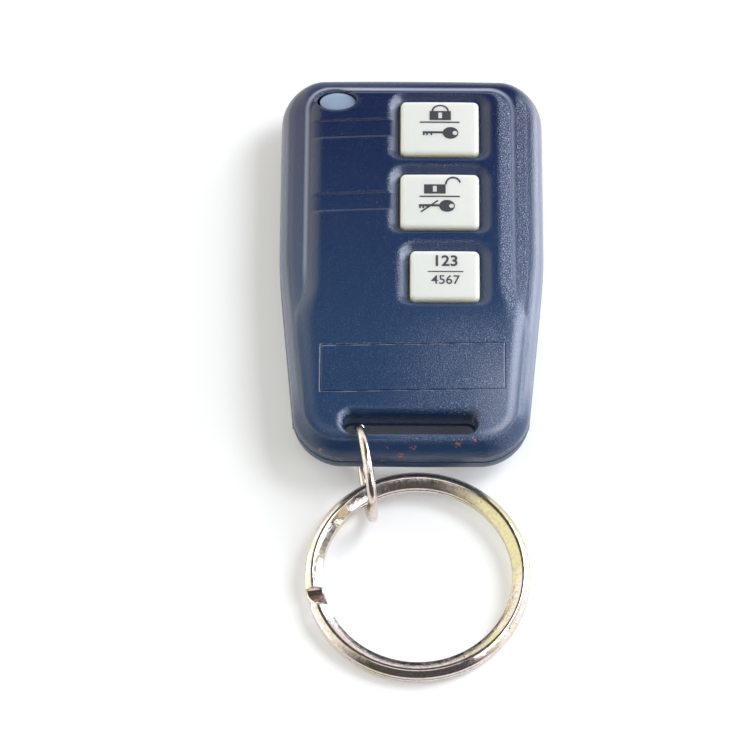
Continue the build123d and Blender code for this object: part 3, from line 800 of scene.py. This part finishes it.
def close_at_parting(bm, above):
    """Takes a casing's side to the parting plane with a small chamfer and closes it. The casing
    lies above the plane (1) or below it (-1)."""
    extend(bm, PARTING_Z + above * PARTING_CHAMFER)
    draw_in(extend(bm, PARTING_Z), PARTING_CHAMFER)
    close(bm)


def front_shell(surface):
    bm = sheet(*front_lines(), casing_place(front_z))
    bm.normal_update()
    # Painted highlights and reflections, and the coarse grain with its painted glints of light, as values
    # on the points
    painted_highlight = bm.verts.layers.float.new("painted_highlight")
    glint = bm.verts.layers.float.new("glint")
    for vert in bm.verts:
        vert[painted_highlight] = painted_highlight_level(vert.co.x, vert.co.y, vert.normal)
        vert[glint] = sparkle(vert.co.x, vert.co.y, vert.normal)
    close_at_parting(bm, 1)
    piece = to_object(bm, "front_shell")
    inner = bmesh.new()
    cavity(inner, lambda y: CEILING_Z, PARTING_Z - 1)
    slot_prism(inner)
    cut(piece, inner)
    openings = bmesh.new()
    for x, y, width, depth in CAPS.values():
        size = (width + 2 * CAP_GAP, depth + 2 * CAP_GAP)
        rounded_prism(openings, (x, y), size, CAP_CORNER_R + CAP_GAP, FLANGE_BOTTOM_Z, CUT_TOP_Z)
    drum(openings, WINDOW, WINDOW_HALF, FLANGE_BOTTOM_Z, CUT_TOP_Z, segments=72)
    cut(piece, openings)
    smooth(piece, angle=35.0)
    settle(piece, "casing", "navy_plastic", surface, "front_casing")


def rear_shell(surface):
    bm = sheet(*rear_lines(), casing_place(rear_z, REAR_PROUD))
    close_at_parting(bm, -1)
    piece = to_object(bm, "rear_shell")
    inner = bmesh.new()
    cavity(inner, lambda y: FLOOR_Z + ramp_z(y), PARTING_Z + 1)
    slot_prism(inner, SLOT_STEP)
    cut(piece, inner)
    recesses = bmesh.new()
    half = (SCREW_RECESS_R, SCREW_RECESS_R)
    for x in SCREW_XS:
        drum(recesses, (x, SCREW_Y), half, CUT_LOW_Z, SCREW_RECESS_DEPTH, segments=48)
    cut(piece, recesses)
    smooth(piece, angle=35.0)
    settle(piece, "casing", "navy_plastic_rear", surface, "rear_casing")


# Caps and lens

def cap_z(name, x, y):
    """Height of a cap's top: a slight crown and a rounded edge."""
    cap_x, cap_y, width, depth = CAPS[name]
    across, along = width / 2 - abs(x - cap_x), depth / 2 - abs(y - cap_y)
    distance = inside(across, along, CAP_CORNER_R)[0]
    bulge = ((x - cap_x) / width * 2) ** 2 + ((y - cap_y) / depth * 2) ** 2
    return CAP_TOP_Z - CAP_CROWN * bulge / 2 - fillet_drop(distance, CAP_EDGE_R)


def cap(name, surface):
    cap_x, cap_y, width, depth = CAPS[name]
    half_x, half_y = width / 2, depth / 2
    rim = (0.0, 0.01, 0.25)
    columns = spaced(-half_x, half_x, CAP_STEP, [(-half_x, *rim), (half_x, *rim)])
    rows = spaced(-half_y, half_y, CAP_STEP, [(-half_y, *rim), (half_y, *rim)])

    def place(column, row):
        half = half_x - fillet_drop(half_y - abs(row), CAP_CORNER_R)
        x, y = cap_x + column * half / half_x, cap_y + row
        return Vector((x, y, cap_z(name, x, y)))
    bm = sheet(columns, rows, place)
    extend(bm, FLANGE_TOP_Z)
    draw_in(extend(bm, FLANGE_TOP_Z), -FLANGE_REACH, (cap_x, cap_y), (half_x, half_y))
    extend(bm, FLANGE_BOTTOM_Z)
    close(bm)
    piece = to_object(bm, f"cap_{name}")
    smooth(piece, angle=50.0)
    settle(piece, f"button_{name}", "ivory_plastic", surface, f"button_{name}")


def lens(surface):
    """The oval head of the light guide, slightly crowned, with its stem."""
    bm = bmesh.new()
    drum(bm, LENS, LENS_HALF, FLANGE_BOTTOM_Z, LENS_TOP_Z, segments=72)
    top = [f for f in bm.faces if f.normal.z > 0.9 and f.calc_center_median().z > LENS_TOP_Z - 0.1]
    for thickness, depth in LENS_INSETS:
        bmesh.ops.inset_region(bm, faces=top, thickness=thickness, depth=depth)
    stem_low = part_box("indicator_lens")[0][2] / MM
    drum(bm, LENS, (LENS_STEM_R, LENS_STEM_R), stem_low, FLANGE_BOTTOM_Z, segments=32)
    piece = to_object(bm, "window_lens")
    smooth(piece, angle=40.0)
    settle(piece, "casing", "lens_plastic", surface, "indicator_lens")


# Rings

def hoop(surface):
    """Round wire bent to a ring on edge in the slot; its cut ends stand a little apart."""
    bm = bmesh.new()
    made = bmesh.ops.create_circle(bm, radius=HOOP_WIRE_R, segments=24)
    start = Matrix.Rotation(math.radians(HOOP_CUT_AT + HOOP_CUT / 2), 4, "Z")
    upright = start @ Matrix.Translation((HOOP_MEAN_R, 0, 0)) @ Matrix.Rotation(math.pi / 2, 4, "X")
    bmesh.ops.transform(bm, matrix=upright, verts=made["verts"])
    bmesh.ops.translate(bm, verts=bm.verts, vec=(0, 0, -HOOP_OFFSET / 2))
    bmesh.ops.spin(
        bm, geom=bm.edges[:], cent=(0, 0, 0), axis=(0, 0, 1), angle=math.radians(360 - HOOP_CUT),
        steps=HOOP_STEPS, dvec=(0, 0, HOOP_OFFSET / HOOP_STEPS),
    )
    ends = open_edges(bm)
    bmesh.ops.holes_fill(bm, edges=ends)
    bmesh.ops.bevel(
        bm, geom=ends, offset=HOOP_END_R, offset_type="OFFSET", segments=2, profile=0.5,
        affect="EDGES", material=-1,
    )
    turn = Matrix.Rotation(math.radians(90 + HOOP_HEADING), 4, "Z")
    place = Matrix.Translation(HOOP_CENTRE) @ turn @ Matrix.Rotation(math.pi / 2, 4, "X")
    bmesh.ops.transform(bm, matrix=place, verts=bm.verts)
    piece = to_object(bm, "ring_wire")
    smooth(piece, angle=40.0)
    settle(piece, "jump_ring", "nickel_plate", surface, "jump_ring")


def ring_section(share):
    """The split ring's wire in (radius, height), from the lower turn (0) to the upper one (1)."""
    half, groove = RING_HEIGHT / 2, RING_GROOVE
    outer, inner = RING_OUTER_R, RING_OUTER_R - RING_WIDTH
    middle = (outer + inner) / 2 + RING_CREST_OUT
    low = [
        (middle - RING_CREST_HALF, 0), (middle + RING_CREST_HALF, 0), (outer, RING_EDGE_Z),
        (outer, half - groove), (outer - groove, half), (inner + groove, half),
        (inner, half - groove), (inner, RING_EDGE_Z),
    ]
    high = [(r, RING_HEIGHT - z) for r, z in reversed(low)]
    high = high[2:] + high[:2]
    return [(mix(a, b, share), mix(c, d, share)) for (a, c), (b, d) in zip(low, high)]


def ring_stations():
    """Angles along the split ring's wire, each with how far it has climbed to the upper turn."""
    turn = 360 - RING_STEP_SWEEP - RING_END_GAP
    start = RING_STEP_AT + RING_STEP_SWEEP + RING_END_GAP
    ramp = start + turn
    top = ramp + RING_STEP_SWEEP
    stations = [(start + turn * i / RING_TURN_STEPS, 0.0) for i in range(RING_TURN_STEPS + 1)]
    for i in range(1, RING_RAMP_STEPS + 1):
        share = i / RING_RAMP_STEPS
        stations.append((ramp + RING_STEP_SWEEP * share, ease(share)))
    return stations + [(top + turn * i / RING_TURN_STEPS, 1.0) for i in range(1, RING_TURN_STEPS + 1)]


def ring_points(angle, share):
    """The wire's section at an angle round the ring."""
    c, s = math.cos(math.radians(angle)), math.sin(math.radians(angle))
    return [Vector((r * c, r * s, z)) for r, z in ring_section(share)]


def split_ring(surface):
    """One flat wire wound twice: the lower turn, a short ramp, and the upper turn."""
    first, *others = ring_stations()
    bm = bmesh.new()
    verts = [bm.verts.new(point) for point in ring_points(*first)]
    bm.faces.new(verts)
    for station in others:
        lines = [bm.edges.get(pair) for pair in zip(verts, verts[1:] + verts[:1])]
        fresh = set(new_verts(bmesh.ops.extrude_edge_only(bm, edges=lines)))
        follow = []
        for vert, point in zip(verts, ring_points(*station)):
            ahead = next(e.other_vert(vert) for e in vert.link_edges if e.other_vert(vert) in fresh)
            ahead.co = point
            follow.append(ahead)
        verts = follow
    bm.faces.new(verts)
    bmesh.ops.recalc_face_normals(bm, faces=bm.faces)
    mean_r = RING_OUTER_R - RING_WIDTH / 2
    tilt = math.asin(RING_LIFT / (2 * mean_r))
    lift = (mean_r + RING_CREST / 2) * math.sin(tilt)
    place = Matrix.Translation((*RING_CENTRE, lift)) @ Matrix.Rotation(tilt, 4, "X")
    bmesh.ops.transform(bm, matrix=place, verts=bm.verts)
    piece = to_object(bm, "ring_turns")
    bevel = piece.modifiers.new("round", "BEVEL")
    bevel.width = RING_ROUND * MM
    bevel.segments = 3
    bevel.limit_method = "ANGLE"
    bevel.angle_limit = math.radians(25)
    bake(piece)
    smooth(piece, angle=50.0)
    settle(piece, "split_ring", "nickel_plate", surface, "split_ring")


# Material tools

def new_material(name, **sockets):
    """A material with one principled shader, whose plain sockets are set by name."""
    surface = bpy.data.materials.new(name)
    surface.use_nodes = True
    shader = surface.node_tree.nodes["Principled BSDF"]
    for socket, value in sockets.items():
        shader.inputs[socket.replace("_", " ")].default_value = value
    return surface, surface.node_tree, shader


def wire(tree, shader, **sockets):
    """Links results to a shader's sockets, which are named with underscores."""
    for socket, value in sockets.items():
        tree.links.new(value, shader.inputs[socket.replace("_", " ")])


def add(tree, kind, settings=(), **inputs):
    """Adds a node. Inputs are links or values, by the socket's name with underscores, or by an i
    and the socket's number."""
    node = tree.nodes.new(kind)
    for setting, value in dict(settings).items():
        setattr(node, setting, value)
    for socket, value in inputs.items():
        target = node.inputs[int(socket[1:]) if socket[1:].isdigit() else socket.replace("_", " ")]
        if isinstance(value, bpy.types.NodeSocket):
            tree.links.new(value, target)
        else:
            target.default_value = value
    return node


def coordinates(tree):
    return add(tree, "ShaderNodeTexCoord").outputs["Object"]


def axis(tree, name):
    """The place along X, Y or Z, in metres."""
    return add(tree, "ShaderNodeSeparateXYZ", Vector=coordinates(tree)).outputs[name]


def attribute(tree, name):
    return add(tree, "ShaderNodeAttribute", {"attribute_name": name}).outputs["Fac"]


def noise(tree, size, detail=2.0, roughness=0.5, vector=None):
    """Noise whose cells are about size millimetres."""
    node = add(
        tree, "ShaderNodeTexNoise", Vector=vector or coordinates(tree),
        Scale=1 / (size * MM), Detail=detail, Roughness=roughness,
    )
    return node.outputs["Fac"]


def calc(tree, operation, first, second=0.0):
    return add(tree, "ShaderNodeMath", {"operation": operation}, i0=first, i1=second).outputs[0]


def product(tree, first, *others):
    for other in others:
        first = calc(tree, "MULTIPLY", first, other)
    return first


def spread(tree, value, low, high, out_low=0.0, out_high=1.0):
    """Maps low...high to out_low...out_high, clamped."""
    node = add(
        tree, "ShaderNodeMapRange", Value=value, From_Min=low, From_Max=high,
        To_Min=out_low, To_Max=out_high,
    )
    return node.outputs["Result"]


def blend_colour(tree, share, first, second):
    node = add(tree, "ShaderNodeMix", {"data_type": "RGBA"}, i0=share, i6=first, i7=second)
    return node.outputs[2]


def bump(tree, height, depth, **normal):
    """Bump whose full height is depth millimetres, on top of another Normal where one is given."""
    node = add(tree, "ShaderNodeBump", Height=height, Distance=depth * MM, Strength=1.0, **normal)
    return node.outputs["Normal"]


def specks(tree, spacing, radius, share):
    """Small round specks: one in a part of the cells, which are spacing millimetres wide."""
    cells = add(tree, "ShaderNodeTexVoronoi", Vector=coordinates(tree), Scale=1 / (spacing * MM))
    near = spread(tree, cells.outputs["Distance"], radius / spacing * 0.6, radius / spacing, 1.0, 0.0)
    channel = add(tree, "ShaderNodeSeparateColor", Color=cells.outputs["Color"]).outputs["Red"]
    return product(tree, near, calc(tree, "LESS_THAN", channel, share))


def rgb(r, g, b):
    """A colour given as it looks, 0 to 255."""
    return (*[(v / 255) ** 2.2 for v in (r, g, b)], 1.0)


def mottled(name, size, detail, first, second, **sockets):
    """A material whose colour wavers between two, over patches of a size."""
    surface, tree, shader = new_material(name, **sockets)
    base = blend_colour(tree, noise(tree, size, detail), rgb(*first), rgb(*second))
    wire(tree, shader, Base_Color=base)
    return surface, tree, shader


# Materials

def navy_grain(name, painted_light_and_rust):
    """Dark navy plastic, bluer at the far end, with a fine spark-eroded grain and a little dust.
    The front one is painted pale with highlights of the lamps where its points say, and there its
    grain goes smooth. Elsewhere its grain goes coarse and is painted with glints of light, and it
    has rust on the bar."""
    surface, tree, shader = new_material(
        name, Roughness=0.3, Specular_IOR_Level=0.6, Sheen_Weight=0.08, Sheen_Roughness=0.3,
    )
    along = axis(tree, "Y")
    base = blend_colour(tree, spread(tree, along, 22 * MM, -12 * MM), rgb(11, 31, 69), rgb(34, 57, 90))
    dust = product(tree, specks(tree, spacing=0.9, radius=0.06, share=0.22), 0.6)
    base = blend_colour(tree, dust, base, rgb(150, 152, 165))
    height = noise(tree, 0.22, roughness=0.6)
    if painted_light_and_rust:
        painted_highlight, glint = attribute(tree, "painted_highlight"), attribute(tree, "glint")
        # Painted highlights and reflections of the lamps, in a pale colour
        base = blend_colour(tree, painted_highlight, base, rgb(172, 175, 192))
        # Painted glints of light on the coarse grain, in a pale blue
        grains = noise(tree, 0.15, detail=1.0)
        spark = product(tree, spread(tree, grains, 0.57, 0.67, 0.0, 0.62), glint)
        base = blend_colour(tree, spark, base, rgb(168, 180, 222))
        bar = [spread(tree, along, start * MM, full * MM) for start, full in (RUST_Y, RUST_END_Y)]
        spots = specks(tree, spacing=2.0, radius=0.6, share=0.5)
        rust = product(tree, spots, *bar, spread(tree, noise(tree, 0.3, detail=3.0), 0.5, 0.64))
        base = blend_colour(tree, rust, base, rgb(164, 98, 66))
        coarser = spread(tree, glint, 0.0, 1.0, 1.0, 3.2)
        smoother = spread(tree, painted_highlight, 0.0, 1.0, 1.0, 0.15)
        height = product(tree, height, coarser, smoother)
        wire(tree, shader, Roughness=spread(tree, glint, 0.0, 1.0, 0.18, 0.27))
    wire(tree, shader, Base_Color=base, Normal=bump(tree, height, 0.068))
    return surface


def ivory():
    """Satin ivory plastic, a little yellower low on its sides and lightened there with painted light
    against the shade on the caps' walls, with a few dark specks.
    """
    surface, tree, shader = new_material(
        "ivory_caps", Roughness=0.36, Specular_IOR_Level=0.5, Subsurface_Weight=0.7,
        Subsurface_Radius=(1.0, 0.95, 0.8), Subsurface_Scale=1.0 * MM,
    )
    # Painted light: the caps' lower sides, in shade in their wells, are made lighter as well as yellower
    low = spread(tree, axis(tree, "Z"), 10.7 * MM, 10.3 * MM)
    tint = blend_colour(tree, noise(tree, 3.0), rgb(216, 217, 212), rgb(219, 220, 215))
    base = blend_colour(tree, low, tint, rgb(232, 230, 208))
    dots = product(tree, specks(tree, spacing=2.6, radius=0.07, share=0.12), 0.5)
    base = blend_colour(tree, dots, base, rgb(120, 120, 112))
    wire(tree, shader, Base_Color=base, Normal=bump(tree, noise(tree, 0.3), 0.004))
    return surface


def ink():
    return mottled("mark_ink", 0.2, 2.0, (52, 52, 58), (66, 66, 72), Roughness=0.5)[0]


def lens_plastic():
    sockets = {"Roughness": 0.3, "Specular_IOR_Level": 0.5}
    return mottled("lens_blue", 1.5, 2.0, (133, 150, 172), (140, 157, 180), **sockets)[0]


def nickel():
    """Worn nickel plate: yellow patches, more of them at the right, fine scratches and rust spots."""
    surface, tree, shader = new_material("nickel_worn", Metallic=1.0)
    lean = spread(tree, axis(tree, "X"), 2 * MM, 12 * MM, -0.04, 0.12)
    patch = spread(tree, calc(tree, "ADD", noise(tree, 7.0), lean), 0.5, 0.62)
    base = blend_colour(tree, patch, rgb(221, 208, 203), rgb(206, 198, 160))
    fine = spread(tree, noise(tree, 0.5, detail=3.0), 0.5, 0.75)
    base = blend_colour(tree, fine, base, rgb(186, 176, 168))
    rust = specks(tree, spacing=1.0, radius=0.13, share=0.1)
    base = blend_colour(tree, rust, base, rgb(128, 84, 60))
    rough = spread(tree, noise(tree, 0.8, detail=4.0), 0.35, 0.7, 0.08, 0.24)
    level = add(tree, "ShaderNodeCombineXYZ", Z=axis(tree, "Z")).outputs[0]
    ridges = bump(tree, noise(tree, 0.22, vector=level), 0.012)
    scratches = bump(tree, noise(tree, 0.35, detail=3.0), 0.012, Normal=ridges)
    wire(tree, shader, Base_Color=base, Roughness=rough, Normal=scratches)
    return surface


def inner_material(name, first, second, roughness, metallic):
    """Finish of a part inside."""
    size = 0.6
    sockets = {"Roughness": roughness, "Metallic": metallic}
    surface, tree, shader = mottled(name, size, 3.0, first, second, **sockets)
    wire(tree, shader, Normal=bump(tree, noise(tree, size / 3), 0.01))
    return surface


def dress_nodes():
    """Every CAD node that stays gets the finish of its slot in the record."""
    finishes = {name: inner_material(name, *values) for name, values in INNER.items()}
    for row in frame["record"]["subparts"]:
        surface = finishes.get(row["material_slot"])
        node = frame["nodes"].get(row["node"])
        if surface and node:
            node.data.materials.clear()
            node.data.materials.append(surface)


# Marks on the caps

def slab(bm, x, y, width, depth, turn=0.0):
    """A thin bar of ink."""
    made = bmesh.ops.create_grid(bm, x_segments=1, y_segments=1, size=0.5)
    place = Matrix.Translation((x, y, 0)) @ Matrix.Rotation(math.radians(turn), 4, "Z")
    bmesh.ops.transform(bm, matrix=place @ Matrix.Diagonal((width, depth, 1, 1)), verts=made["verts"])


def holed_disc(bm, x, y, half, hole_x, hole_r):
    """An oval disc of ink with a round hole, which is off its centre by hole_x."""
    oval = bmesh.ops.create_circle(bm, radius=1.0, segments=32)["verts"]
    place = Matrix.Translation((x, y, 0)) @ Matrix.Diagonal((*half, 1, 1))
    bmesh.ops.transform(bm, matrix=place, verts=oval)
    hole = bmesh.ops.create_circle(bm, radius=hole_r, segments=32)["verts"]
    bmesh.ops.translate(bm, verts=hole, vec=(x + hole_x, y, 0))
    bmesh.ops.bridge_loops(bm, edges=edges_at(oval + hole))


def arch(bm, x, y, radius, width, start, sweep, stretch):
    """A band bent to an arc, for the shackle of a padlock."""
    before = set(bm.verts)
    low = bm.verts.new((radius - width / 2, 0, 0))
    high = bm.verts.new((radius + width / 2, 0, 0))
    line = bm.edges.new((low, high))
    turn = Matrix.Rotation(math.radians(start), 3, "Z")
    bmesh.ops.rotate(bm, verts=[low, high], cent=(0, 0, 0), matrix=turn)
    bmesh.ops.spin(
        bm, geom=[line], cent=(0, 0, 0), axis=(0, 0, 1), angle=math.radians(sweep), steps=16,
    )
    verts = [vert for vert in bm.verts if vert not in before]
    place = Matrix.Translation((x, y, 0)) @ Matrix.Diagonal((1, stretch, 1, 1))
    bmesh.ops.transform(bm, matrix=place, verts=verts)


def padlock(bm, x, y, opened):
    """A padlock body with a keyhole left bare, and its shackle."""
    width, depth = PADLOCK_SIZE
    cheek = width / 2 - KEYHOLE_HALF
    for sign in (-1, 1):
        slab(bm, x + sign * (KEYHOLE_HALF + cheek / 2), y, cheek, depth)
    for up, bridge_width, bridge_depth in PADLOCK_BRIDGES:
        slab(bm, x, y + up, bridge_width, bridge_depth)
    top = y + depth / 2
    if opened:
        arch(bm, x + 0.85 * width, top, radius=1.0, width=0.24, start=15, sweep=165, stretch=1.15)
    else:
        arch(bm, x, top, radius=1.08, width=0.26, start=0, sweep=180, stretch=0.86)


def key(bm, x, y, struck):
    """A key that points left: its head with a hole, the shank and three teeth."""
    holed_disc(bm, x + KEY_HEAD_X, y, half=(1.08, 0.95), hole_x=0.62, hole_r=0.34)
    slab(bm, x - 0.3, y + 0.08, width=3.2, depth=0.34)
    for tooth_x in KEY_TEETH_X:
        slab(bm, x + tooth_x, y - 0.2, width=0.24, depth=0.36)
    if struck:
        slab(bm, x - 0.45, y - 0.05, width=3.0, depth=0.22, turn=38)


def number(bm, text, x, y, size, weight):
    """Plain numbers as flat ink."""
    curve = bpy.data.curves.new("number", "FONT")
    curve.body = text
    curve.size = size
    curve.offset = weight
    curve.align_x = "CENTER"
    curve.align_y = "CENTER"
    holder = bpy.data.objects.new("number", curve)
    bpy.context.collection.objects.link(holder)
    depsgraph = bpy.context.evaluated_depsgraph_get()
    mesh = bpy.data.meshes.new_from_object(holder.evaluated_get(depsgraph))
    mesh.transform(Matrix.Translation((x, y, 0)))
    bm.from_mesh(mesh)
    bpy.data.objects.remove(holder)
    bpy.data.meshes.remove(mesh)


def drape(bm, name):
    """Lays flat marks on a cap: thin, and following its crown."""
    bmesh.ops.subdivide_edges(bm, edges=bm.edges[:], cuts=2, use_grid_fill=True)
    for vert in bm.verts:
        vert.co.z = cap_z(name, vert.co.x, vert.co.y)
    faces = bm.faces[:]
    for face in faces:
        face.normal_update()
    bmesh.ops.reverse_faces(bm, faces=[f for f in faces if f.normal.z < 0])
    raise_faces(bm, faces, MARK_HEIGHT)


def marks(name, surface):
    x, y = CAPS[name][:2]
    bm = bmesh.new()
    if name in KEY_MARKS:
        lock_place, line_y, key_place = KEY_MARKS[name]
        opened = name == "unlock"
        padlock(bm, x + lock_place[0], y + lock_place[1], opened)
        slab(bm, x, y + line_y, *MARK_LINE)
        key(bm, x + key_place[0], y + key_place[1], opened)
    else:
        for text, up, size, weight in NUMBERS:
            number(bm, text, x + NUMBERS_X, y + up, size, weight)
        slab(bm, x + NUMBERS_X, y + NUMBERS_LINE_Y, *NUMBERS_LINE)
    drape(bm, name)
    piece = to_object(bm, f"marks_{name}")
    settle(piece, f"button_{name}", "ivory_plastic", surface)


# Room, light and camera

def room():
    """A white floor that keeps the shadow and shows white behind the object and in its metal."""
    bm = bmesh.new()
    bmesh.ops.create_grid(bm, x_segments=1, y_segments=1, size=STAGE_HALF)
    bmesh.ops.translate(bm, verts=bm.verts, vec=(0, 0, -STAGE_DROP))
    floor = to_object(bm, "floor")
    surface, tree, shader = new_material(
        "floor_white", Roughness=0.9, Specular_IOR_Level=0.0, Emission_Color=(1, 1, 1, 1),
        Base_Color=(STAGE_WHITE, STAGE_WHITE, STAGE_WHITE, 1),
    )
    path = add(tree, "ShaderNodeLightPath")
    seen = calc(tree, "ADD", path.outputs["Is Camera Ray"], path.outputs["Is Glossy Ray"])
    seen = calc(tree, "ADD", seen, path.outputs["Is Transmission Ray"])
    wire(tree, shader, Emission_Strength=product(tree, calc(tree, "MINIMUM", seen, 1.0), STAGE_GLOW))
    floor.data.materials.append(surface)


def world():
    """Pale low down beyond the object and at its right, pale up to steep heights at its left,
    which is the warmer side, and dark on the camera's side."""
    surroundings = bpy.data.worlds.new("studio")
    bpy.context.scene.world = surroundings
    surroundings.use_nodes = True
    tree = surroundings.node_tree
    direction = add(tree, "ShaderNodeTexCoord").outputs["Generated"]
    parts = add(tree, "ShaderNodeSeparateXYZ", Vector=direction).outputs
    x, y, z = parts["X"], parts["Y"], parts["Z"]
    away = spread(tree, y, -0.7, -0.3)
    far = product(tree, spread(tree, z, 0.35, 0.7, 1.1, 0.0), spread(tree, y, -0.2, 0.3))
    left = product(tree, spread(tree, x, -0.15, -0.4), spread(tree, z, 0.9, 0.75, 0.0, 1.3))
    low = product(tree, spread(tree, x, -0.4, -0.75), spread(tree, z, 0.25, 0.05, 0.0, 1.6))
    left = product(tree, calc(tree, "ADD", left, low), away)
    right = product(tree, spread(tree, x, 0.2, 0.45), spread(tree, z, 0.5, 0.25, 0.0, 1.5), away)
    level = calc(tree, "MAXIMUM", calc(tree, "MAXIMUM", far, left), right)
    tint = blend_colour(tree, spread(tree, x, -0.5, 0.0), (1, 0.98, 0.86, 1), (1, 0.99, 0.98, 1))
    wire(tree, tree.nodes["Background"], Color=tint, Strength=calc(tree, "ADD", level, WORLD_LEAST))


def lamp(name, direction, distance, size, white, colour):
    """A square soft lamp in a direction from the object. Alone it lights a level white surface
    to the given white."""
    aim = Vector(direction).normalized()
    light = bpy.data.lights.new(name, "AREA")
    light.shape = "SQUARE"
    light.size = size * MM
    light.color = colour
    light.energy = white / aim.z * math.pi**2 * (distance * MM) ** 2
    holder = bpy.data.objects.new(name, light)
    holder.location = (LAMPS_AIM + aim * distance) * MM
    holder.rotation_euler = (-aim).to_track_quat("-Z", "Y").to_euler()
    bpy.context.collection.objects.link(holder)


def camera():
    """The photograph's view: from above the slot end, at 60 degrees."""
    data = bpy.data.cameras.new("camera")
    data.lens = CAMERA_LENS
    data.clip_end = 10.0
    holder = bpy.data.objects.new("camera", data)
    holder.location = CAMERA_PLACE * MM
    holder.rotation_euler = (CAMERA_TARGET - CAMERA_PLACE).to_track_quat("-Z", "Y").to_euler()
    bpy.context.collection.objects.link(holder)
    bpy.context.scene.camera = holder


def main():
    front_shell(navy_grain("navy_front", True))
    rear_shell(navy_grain("navy_rear", False))
    ivory_caps, dark_ink = ivory(), ink()
    for name in CAPS:
        cap(name, ivory_caps)
        marks(name, dark_ink)
    lens(lens_plastic())
    metal = nickel()
    hoop(metal)
    split_ring(metal)
    dress_nodes()
    room()
    world()
    for name, values in LAMPS.items():
        lamp(name, *values)
    camera()
    bpy.context.scene.view_settings.view_transform = "Standard"


main()
